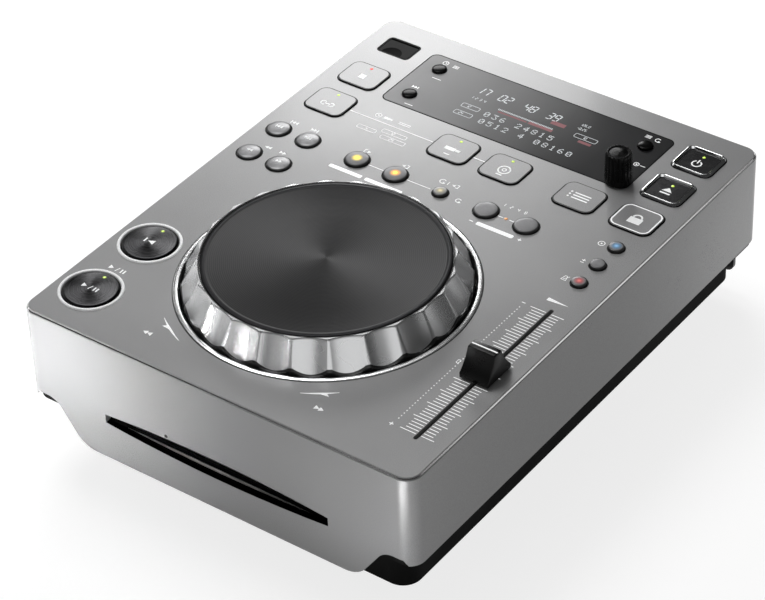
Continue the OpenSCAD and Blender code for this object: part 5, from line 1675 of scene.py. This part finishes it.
@dataclass
class Display(Assembly):
    """The window with its painted glare, its edge line and the lit counter behind it."""

    y: float = 104.6
    width: float = 141.0
    depth: float = 46.3
    corner: float = 3.4
    glass: float = 0.1

    def build(self) -> None:
        """Dresses the window and builds the lit figures."""
        shop = self.shop
        shop.dress("window", GlarePaintedPane())
        shop.dress("display_module", Moulding("display_body", colour=(0.03, 0.035, 0.04), rough=0.35))
        edge = border((self.width, self.depth, self.corner), 0.02, 0.62, 0.0, 0.05).moved(0.0, self.y)
        black = Moulding("edge_black", colour=grey(0.004), rough=0.7, gloss=0.03)
        shop.piece("window_edge_line", edge, black, "case", "black_plastic")
        self.figures()

    def figures(self) -> None:
        """Plain counter figures, boxes, a level strip and two rows of small numbers."""
        low, high = self.glass - 0.02, self.glass + 0.03
        big, tiny, dots = Digits(5.2, 0.16, 0.11), Digits(1.7, 0.1, 0.16), DotFigures(0.56, 4.6)
        draw = Symbols(low, high)
        figures = (
            (big, "17", -34.5, 113.4), (big, "02", -21.5, 113.4), (big, "48", -7.0, 113.4),
            (big, "39", 6.6, 113.4),
            (tiny, "126.0", 24.5, 115.6), (tiny, "-0.25", 24.5, 112.2),
            (dots, "036 24815", -19.5, 97.6), (dots, "0512 4 08160", -18.5, 91.3),
            (tiny, "1 2 3 4", -33.4, 106.2), (tiny, "12", -31.0, 98.4), (tiny, "24", -31.0, 91.8),
            (tiny, "10", 31.2, 106.6),
        )
        white = [kind.shape(text, x, y, low, high) for kind, text, x, y in figures]
        white += [draw.pill(x, y, half, 1.7) for x, y,
            half in ((-28.6, 98.4, 5.2), (-28.6, 91.8, 5.2), (33.0, 106.6, 6.4))]
        level = np.column_stack([np.linspace(-16.0, 15.0, 40), np.full(40, 104.4)])
        white.append(bars(level, np.array([[0.2, 0.55]]), low, high))
        red = [draw.bar(*row) for row in ((-7.0, 102.6, 8.4, 0.5), (9.2, 102.9, 6.8, 1.0),
                                          (15.4, 109.4, 4.0, 1.4), (34.6, 102.9, 3.6, 0.9))]
        lit_white = Ink("lit_white", colour=(0.74, 0.78, 0.80), glow=0.12)
        lit_red = Ink("lit_red", colour=(0.22, 0.045, 0.055), glow=0.1)
        for name, parts, ink in (("counter_figures", white, lit_white), ("counter_red_bars", red, lit_red)):
            self.shop.piece(name, merge(parts), ink, "case", "display_body")


@dataclass
class Selector(Assembly):
    """The fluted selector knob on its encoder shaft."""

    x: float = 65.0
    y: float = 85.5
    foot: float = 1.0
    top: float = 17.3
    foot_r: float = 6.7
    top_r: float = 6.3
    flutes: int = 18
    bore_r: float = 3.05
    bore_top: float = 10.3

    def build(self) -> None:
        """Builds the knob and dresses the shaft."""
        black = Moulding("knob_black", colour=grey(0.003), rough=0.24, grain=0.00001, gloss=0.1)
        knob = self.knob_shape().moved(self.x, self.y)
        self.shop.piece("selector_cap", knob, black, "selector", "black_plastic", "selector_knob", 30.0)
        self.shop.dress("encoder_shaft", SheetSteel("shaft_steel", colour=grey(0.5), rough=0.25))
        t = self.top
        profile = [(0.0, t - 0.7), (4.35, t - 0.7), (4.35, t - 0.45), (4.2, t - 0.4), (0.0, t - 0.34)]
        face = turned(profile, 96)
        spun = SpunMetal("selector_face", (self.x, self.y), 4.2, colour=grey(0.012), metal=0.95, rough=0.3,
            pitch=0.0005, fan=0.9, gloss=0.1)
        self.shop.piece("selector_face", face.moved(self.x, self.y), spun, "selector", "black_plastic")

    def knob_shape(self) -> Shape:
        """The knob: a tapered wall whose radius dips by up to 0.45 at each flute, and a dished top.

        The dip is the depth times one less the sine's size to the power 0.6, so flutes are round and
        the ridges between them narrow; it fades in above the plain foot.
        """
        columns = self.flutes * 14
        angle = (np.arange(columns) * TURN / columns)[None, :]
        height = np.array([self.foot, self.foot + 0.4, self.foot + 2.3, self.foot + 2.8,
            *np.linspace(4.5, self.top - 0.7, 8)])
        share = (height - self.foot) / (self.top - 0.6 - self.foot)
        radius = self.foot_r + (self.top_r - self.foot_r) * share
        fade = np.clip((height - self.foot - 2.3) / 0.5, 0.0, 1.0)[:, None]
        dip = 0.45 * (1.0 - np.abs(np.sin(angle * self.flutes / 2.0)) ** 0.6)
        wall = radius[:, None] - fade * dip
        r, t = self.top_r, self.top
        rim = [(r - 0.25, t - 0.25), (r - 0.7, t), (r - 1.2, t), (r - 1.65, t - 0.3), (r - 1.8, t - 0.5)]
        rim += [(2.0, t - 0.5), (0.0, t - 0.5)]
        bore = [(0.0, self.bore_top), (self.bore_r, self.bore_top), (self.bore_r, self.foot),
            (self.foot_r - 0.3, self.foot)]
        rows = [np.broadcast_to(np.array([r]), (columns,)) for r, _ in bore] + list(wall) + [
            np.full(columns, r) - (dip[0] * 0.7 if k == 0 else 0.0) for k, (r, _) in enumerate(rim)]
        levels = [z for _, z in bore] + height.tolist() + [z for _, z in rim]
        across, along = np.cos(angle[0]), np.sin(angle[0])
        stack = [np.stack([r * across, r * along, np.full(columns, z)], -1) for r, z in zip(rows, levels)]
        return loft(np.array(stack), Ends.POLED)


@dataclass
class TempoSlider(Assembly):
    """The slider's cap with its white line, carriage and track."""

    x: float = 93.2
    y: float = -66.4
    width: float = 15.4
    depth: float = 18.4
    foot: float = 0.8
    top: float = 14.2
    ridge: float = 2.9
    hollow: float = 26.0

    def build(self) -> None:
        """Builds the cap and its line and dresses the track parts."""
        shop = self.shop
        black = Moulding("cap_black", colour=grey(0.004), rough=0.28, grain=0.00003, gloss=0.2)
        shop.piece("tempo_grip", self.cap_shape(), black, "tempo", "black_plastic", "tempo_cap", 34.0)
        line = bars([[self.x, self.y]], [[self.width / 2 - 1.0, 0.42]], self.top - 0.03, self.top + 0.02)
        shop.piece("tempo_grip_line", line, Ink("line_white"), "tempo", "black_plastic")
        shop.dress("tempo_carriage", Moulding("carriage_nylon", colour=grey(0.03), rough=0.4))
        shop.dress("tempo_fader", SheetSteel("fader_steel", colour=(0.4, 0.4, 0.38), rough=0.38))

    def cap_shape(self) -> Shape:
        """The cap: a side profile with two hollow ramps, carried across its width.

        A ramp is part of a circle of the hollow's radius through its two ends; the profile's width
        narrows by 7 per cent from foot to ridge, and the end rows are drawn in by a small bevel.
        """
        half, shoulder = self.depth / 2, self.foot + 2.0
        start, stop = np.array([half, shoulder]), np.array([self.ridge, self.top - 1.0])
        chord = stop - start
        out = np.array([chord[1], -chord[0]]) / np.linalg.norm(chord)
        middle = (start + stop) / 2 + out * math.sqrt(self.hollow**2 - chord @ chord / 4)
        a0, a1 = (math.atan2(*(p - middle)[::-1]) for p in (start, stop))
        a1 += TURN if a1 - a0 < -math.pi else (-TURN if a1 - a0 > math.pi else 0.0)
        angle = np.linspace(a0, a1, 14)
        ramp = middle + self.hollow * np.stack([np.cos(angle), np.sin(angle)], -1)
        crest = np.array([self.ridge, self.top]) - [[0.12, 0.5], [0.4, 0.12], [1.0, 0.0]]
        right = np.vstack([[[half, self.foot]], ramp, crest])
        left = right[::-1] * np.array([-1.0, 1.0])
        profile = np.vstack([right, left])
        centre = np.array([0.0, 5.0])
        rows = []
        bevel = ((1.0, 0.93), (0.985, 0.965), (0.95, 0.99), (0.9, 1.0))
        for u, shrink in (*((-u, shrink) for u, shrink in bevel), *bevel[::-1]):
            ring = centre + (profile - centre) * shrink
            ring[:, 1] = np.maximum(ring[:, 1], self.foot)
            taper = 1.0 - 0.07 * (ring[:, 1] - self.foot) / (self.top - self.foot)
            across = self.x + u * self.width / 2 * taper
            rows.append(np.column_stack([across, self.y + ring[:, 0], ring[:, 1]]))
        return loft(np.array(rows), Ends.CAPPED)


@dataclass
class SocketDoor(Assembly):
    """The hinged door over the USB socket, with its well and socket."""

    def build(self) -> None:
        """Dresses the door, whose scoop and sides get painted shade (black), the well and the socket."""
        shop = self.shop
        door = Moulding("door_grey", colour=grey(0.034), rough=0.75, grain=0.00003, gloss=0.08,
            painted_shade_under=-0.2)
        shop.dress("usb_cover", door)
        shop.dress("usb_well", Moulding("well_black", colour=grey(0.008), rough=0.7, gloss=0.2))
        shop.dress("usb_socket", SheetSteel("socket_steel", colour=(0.55, 0.55, 0.53), rough=0.25))


# ------------------------------------------------------------------ print


@dataclass
class PanelPrint(Assembly):
    """White lines, ticks, arrows and plain numbers printed on the panel."""

    low: float = 0.0
    high: float = 0.035
    stroke: float = 0.24
    badge_row: float = 21.9
    ticks: int = 51
    slot: Pair = (91.8, 94.6)
    scale_ends: Pair = (-16.4, -116.4)

    def build(self) -> None:
        """Prints the marks in groups."""
        ink = Ink()
        groups = {"tempo_scale_print": self.tempo_scale(), "loop_print": self.loop_marks(),
            "source_line_print": self.source_lines(),
                  "turn_arrow_print": self.turn_arrows(), "key_legend_print": self.legends(),
                  "window_legend_print": self.window_legends()}
        for name, shapes in groups.items():
            self.shop.piece(name, merge(shapes), ink, "case", "silver_paint")
        place = (37.3, LOOP_ROW)
        glow = turned([(0.0, 0.0), (0.95, 0.0), (0.95, 0.1), (0.6, 0.22), (0.0, 0.28)], 28).moved(*place)
        orange = Diode("beat_lamp_orange", place, 0.95, (0.42, 0.15, 0.03), (0.80, 0.40, 0.10), 0.35)
        self.shop.piece("beat_lamp", glow, orange, "case", "key_dome")

    def lines(self, rows: np.ndarray | list[tuple[float, float, float, float]]) -> Shape:
        """Returns bars from rows of centre x, centre y, half length and half width."""
        table = np.array(rows, float)
        return bars(table[:, :2], table[:, 2:], self.low, self.high)

    def tempo_scale(self) -> list[Shape]:
        """Ticks 2 mm apart on both sides of the slot, every fifth one long, and a dotted guide line."""
        y = np.linspace(*self.scale_ends, self.ticks)
        long = np.arange(self.ticks) % 5 == 0
        near_left, near_right = self.slot
        right_end, left_end = np.where(long, 101.2, 99.4), np.where(long, 83.4, 85.2)
        spots = np.linspace(-19.5, -112.0, 47)
        tables = [np.column_stack(np.broadcast_arrays(x, y, half, thick)) for x, y, half, thick in (
            ((near_right + right_end) / 2, y, (right_end - near_right) / 2, 0.22),
            ((near_left + left_end) / 2, y, (near_left - left_end) / 2, 0.22),
            (79.6, spots, 0.26, 0.3),
        )]
        zero = Digits(2.4, 0.0, 0.15).shape("0", 78.3, -66.3, self.low, self.high)
        t = self.stroke
        signs = self.lines([(79.4, -15.9, 1.0, t), (79.0, -116.6, 1.1, t), (79.0, -116.6, t, 1.1)])
        return [*map(self.lines, tables), zero, signs]

    def loop_marks(self) -> list[Shape]:
        """Lines that join the loop keys and the plain bars under them."""
        t, row = self.stroke, self.badge_row
        rows = [(x, LOOP_ROW, half, t) for x, half in ((-37.4, 4.4), (-12.6, 6.8), (34.2, 1.5), (40.6, 1.4))]
        rows += [(24.6, row, 1.0, t), (51.6, row, 1.0, t), (51.6, row, t, 1.0)]
        levels = [(0.0, self.low), (0.0, self.high)]
        badges = ((-48.2, 19.0), (-26.0, 21.4), (37.8, 20.4))
        return [self.lines(rows), *(stacked((w, 2.5, 0.7), levels, steps=6).moved(x, row) for x, w in badges)]

    def source_lines(self) -> list[Shape]:
        """The line from the link key to the two source keys."""
        return [self.lines([(-51.9, SOURCE_ROW, 24.6, 0.26), (0.0, SOURCE_ROW, 3.2, 0.26)])]

    def turn_arrows(self) -> list[Shape]:
        """Two thin arcs by the wheel, each with an arrow's barb part of the way along it."""
        made = []
        for radius, start, stop in ((76.4, -127.0, -113.5), (78.4, -49.5, -62.0)):
            path = arc(radius, start, stop, 30, JOG_CENTRE)
            width = 0.25 + 0.75 * np.sin(np.linspace(0.15, 3.0, 30)) ** 2
            made.append(ribbon(path, width, self.low, self.high))
            tip = arc(radius + 0.3, start + 0.35 * (stop - start), stop, 2, JOG_CENTRE)[0]
            inward = np.array(JOG_CENTRE) - tip
            inward /= np.linalg.norm(inward)
            along = math.copysign(1.0, stop - start) * np.array([inward[1], -inward[0]])
            barb = np.array([tip + along * 2.6, tip - along * 1.4 - inward * 2.1, tip - along * 0.6])
            made.append(plate(barb, self.low, self.high))
        draw = Symbols(self.low, self.high)
        return [*made, *draw.rush(-48.4, -126.2, -1.0, 1.25), *draw.rush(47.4, -126.0, 1.0, 1.25)]

    def legends(self) -> list[Shape]:
        """Symbols beside the keys: skip, rush, loop stretch, beats, record, range, pendulum."""
        draw, small = Symbols(self.low, self.high), Digits(1.9, 0.0, 0.17)
        rows = [
            draw.skip(-93.0, 40.8, -1.0), draw.skip(-80.6, 40.8, 1.0), draw.rush(-91.0, 17.2, -1.0),
            draw.rush(-82.0, 17.2, 1.0),
            draw.bracket(-50.4, 40.6, 1.0), draw.bracket(-24.6, 40.6, -1.0), draw.again(-4.4, 40.4),
            [draw.bar(-1.2, 40.4, 0.16, 1.3)],
            draw.bracket(4.6, 40.4, -1.0), draw.again(10.6, 31.6, 1.35), draw.platter(84.6, 40.4),
            draw.plus_minus(84.8, 24.8), draw.pendulum(84.8, 9.4),
            draw.play_pause(-89.4, -97.9), [draw.wedge(86.8, -7.6, 1.0, 11.2, 1.1)], draw.platter(-62.4, 68.4),
            [draw.bar(-57.4, 68.4, 1.7, 0.8), draw.bar(-54.8, 68.4, 0.8, 0.5)],
            [draw.bar(-47.0, 67.9, 3.4, 0.2), draw.bar(-47.0, 69.1, 3.4, 0.2)],
            [draw.pill(-60.6, 56.0, 5.6, 1.5), draw.pill(-46.4, 59.2, 7.2, 1.5),
                draw.pill(-44.2, 54.6, 7.2, 1.5)],
            draw.platter(-60.6, 56.0)[1:],
        ]
        numbers = [small.shape(t, x, y, self.low, self.high) for t, x, y in (
            ("1", 30.0, 40.9), ("2", 34.0, 40.9), ("4", 38.0, 40.9), ("8", 42.0, 40.9),
            ("12", -48.6, 59.2), ("24", -46.2, 54.6),
        )]
        return [*sum(rows, []), *numbers]

    def window_legends(self) -> list[Shape]:
        """Symbols on the window beside its three small keys and the selector."""
        draw = Symbols(0.09, 0.13)
        rows = [draw.clock(-61.0, 123.6), draw.menu(-54.6, 123.2), [draw.bar(-57.0, 109.6, 2.6, 0.2)],
            draw.skip(-61.4, 98.0, 1.0, 0.9), [draw.bar(-55.6, 83.8, 2.4, 0.2)],
                draw.menu(57.4, 124.4), draw.again(62.8, 124.2, 1.3),
                [draw.dot(64.6, 102.0, 0.5), draw.ring(64.6, 102.0, 1.3), draw.bar(68.0, 102.0, 1.4, 0.2)]]
        return sum(rows, [])


# ------------------------------------------------------------------ inside


@dataclass
class Inside(Assembly):
    """Boards, switches and the disc drive under the panel."""

    def build(self) -> None:
        """Dresses the nodes inside the case."""
        steel = SheetSteel("drive_steel", colour=(0.45, 0.45, 0.44), rough=0.36)
        for nodes, finish in (
            (("key_board", "main_board", "power_board"), CircuitCard()),
            (("panel_switches",), SheetSteel("switch_steel", colour=(0.45, 0.45, 0.43), rough=0.35)),
            (("drive_chassis", "drive_lid", "drive_motors"), steel),
            (("drive_dampers",), Moulding("damper_rubber", colour=grey(0.02), rough=0.8)),
            (("disc_hub",), Moulding("hub_plastic", colour=grey(0.05), rough=0.4)),
            (("pickup_sled",), Moulding("sled_plastic", colour=(0.08, 0.08, 0.085), rough=0.45)),
            (("lead_screw",), SheetSteel("screw_rod", colour=grey(0.5), rough=0.22)),
            (("loading_roller",), Moulding("roller_rubber", colour=grey(0.018), rough=0.75)),
        ):
            for node in nodes:
                self.shop.dress(node, finish)


# ------------------------------------------------------------------ studio


@dataclass(frozen=True)
class Softbox:
    """A rectangular lamp: its place, what it points at, its size and its power."""

    name: str
    place: Triple
    target: Triple
    size: Pair
    power: float
    spread: float = 180.0

    def hang(self) -> None:
        """Hangs the lamp in the scene, hidden from the camera itself."""
        lamp = bpy.data.lights.new(self.name, "AREA")
        lamp.shape = "RECTANGLE"
        lamp.size, lamp.size_y = self.size
        lamp.energy = self.power
        lamp.spread = math.radians(self.spread)
        holder = bpy.data.objects.new(self.name, lamp)
        holder.location = self.place
        aim = Vector(self.target) - Vector(self.place)
        holder.rotation_euler = aim.to_track_quat("-Z", "Y").to_euler()
        holder.visible_camera = False
        bpy.context.collection.objects.link(holder)


@dataclass
class Studio:
    """Floor, soft lamps, plain surroundings and the camera."""

    rack: FinishRack
    camera_place: Triple = (0.6842, -0.9120, 0.9316)
    camera_target: Triple = (0.0567, -0.0960, 0.1300)
    roll: float = -2.54
    lens: float = 143.27
    surround: float = 0.05

    def boxes(self) -> list[Softbox]:
        """Returns the lamps."""
        wheel = (0.02, -0.10, 0.10)
        return [
            Softbox("rear_left_near", (-0.277, 0.402, 0.308), (-0.08, 0.13, 0.09), (0.20, 0.12), 0.56),
            Softbox("rear_left_far", (-0.55, 0.65, 0.52), (-0.05, 0.10, 0.09), (0.40, 0.20), 1.1),
            Softbox("overhead", (-0.20, 0.15, 1.25), (0.0, 0.0, 0.08), (1.0, 0.8), 1.7),
            Softbox("overhead_left", (-0.35, 0.10, 0.90), (-0.02, -0.02, 0.09), (0.5, 0.4), 3.9),
            Softbox("front_left_spot", (-0.26, -0.46, 0.05), (-0.092, -0.15, 0.07), (0.08, 0.05), 0.088, 25.0),
            Softbox("corner_card", (0.12, -0.245, 0.012), (0.12, -0.2451, 1.0), (0.08, 0.05), 0.2),
            Softbox("rear_wall_low", (0.46, 0.22, 0.05), (0.109, 0.16, 0.05), (0.10, 0.06), 0.035, 40.0),
            Softbox("edge_card", (0.90, 0.88, 0.66), (0.05, 0.0, 0.09), (0.5, 0.2), 0.3),
            Softbox("bevel_card", (-0.40, -0.66, 0.87), (0.09, 0.10, 0.09), (0.30, 0.30), 0.34),
            Softbox("wheel_card_far", (1.15, -0.34, 0.41), wheel, (0.50, 0.35), 0.22),
            Softbox("wheel_card_right", (0.857, -1.053, 0.48), wheel, (1.30, 0.42), 2.3),
            Softbox("wheel_card_middle", (-0.309, -1.328, 0.37), wheel, (0.90, 0.40), 0.5),
            Softbox("wheel_card_left", (-0.98, -0.94, 0.17), wheel, (0.30, 0.30), 0.11),
            Softbox("wheel_card_side", (-1.20, 0.06, 0.41), wheel, (0.8, 0.4), 1.8),
        ]

    def build(self) -> None:
        """Sets the studio up."""
        self.floor()
        for box in self.boxes():
            box.hang()
        self.surroundings()
        self.camera()
        bpy.context.scene.view_settings.view_transform = "Standard"

    def floor(self) -> None:
        """A wide flat sheet just below the feet."""
        count, reach, depth = 25, 9.0, -0.0002
        steps = np.linspace(-reach, reach, count)
        u, v = np.meshgrid(steps, steps, indexing="ij")
        points = np.stack([u, v, np.full(u.shape, depth)], -1).reshape(-1, 3)
        index = np.arange(count * count).reshape(count, count)
        quads = np.stack([index[:-1, :-1], index[1:, :-1], index[1:, 1:], index[:-1, 1:]], -1).reshape(-1, 4)
        mesh = bpy.data.meshes.new("floor_sheet")
        mesh.from_pydata(points.tolist(), [], quads.tolist())
        mesh.materials.append(self.rack.of(FloorPaper()))
        sheet = bpy.data.objects.new("floor_sheet", mesh)
        bpy.context.collection.objects.link(sheet)

    def surroundings(self) -> None:
        """A plain dim grey room."""
        world = bpy.data.worlds.new("room")
        bpy.context.scene.world = world
        world.use_nodes = True
        back = world.node_tree.nodes["Background"]
        back.inputs["Color"].default_value = (*grey(self.surround), 1.0)
        back.inputs["Strength"].default_value = 1.0

    def camera(self) -> None:
        """Places the camera: its axes are the view's right and up, rolled by a small angle."""
        place, target = Vector(self.camera_place), Vector(self.camera_target)
        ahead = (target - place).normalized()
        right = ahead.cross(Vector((0.0, 0.0, 1.0))).normalized()
        up = right.cross(ahead)
        c, s = math.cos(math.radians(self.roll)), math.sin(math.radians(self.roll))
        across, above = c * right + s * up, c * up - s * right
        data = bpy.data.cameras.new("view_camera")
        data.lens = self.lens
        data.sensor_width = 36.0
        data.clip_start, data.clip_end = 0.05, 60.0
        holder = bpy.data.objects.new("view_camera", data)
        holder.matrix_world = Matrix((
            (across.x, above.x, -ahead.x, place.x), (across.y, above.y, -ahead.y, place.y),
            (across.z, above.z, -ahead.z, place.z), (0.0, 0.0, 0.0, 1.0)))
        bpy.context.collection.objects.link(holder)
        bpy.context.scene.camera = holder


def clear_scene() -> None:
    """Removes whatever the empty file starts with."""
    for held in list(bpy.data.objects):
        bpy.data.objects.remove(held, do_unlink=True)


def main() -> None:
    """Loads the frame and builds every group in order."""
    logging.basicConfig(level=logging.INFO, format="%(name)s: %(message)s")
    clear_scene()
    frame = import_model()
    shop = Workshop(frame)
    Studio(shop.rack).build()
    for group in (CaseShell(shop), JogWheel(shop), RoundKeys(shop), SquareKeys(shop), Display(shop),
                  Selector(shop), TempoSlider(shop), SocketDoor(shop), PanelPrint(shop), Inside(shop)):
        before = len(shop.pieces)
        group.build()
        for name in shop.pieces[before:]:
            LOG.info("%s made %s", type(group).__name__, name)
    plain = sorted(set(shop.nodes) - shop.dressed)
    LOG.info("nodes without a finish: %s", ", ".join(plain) or "none")


if __name__ == "__main__":
    main()
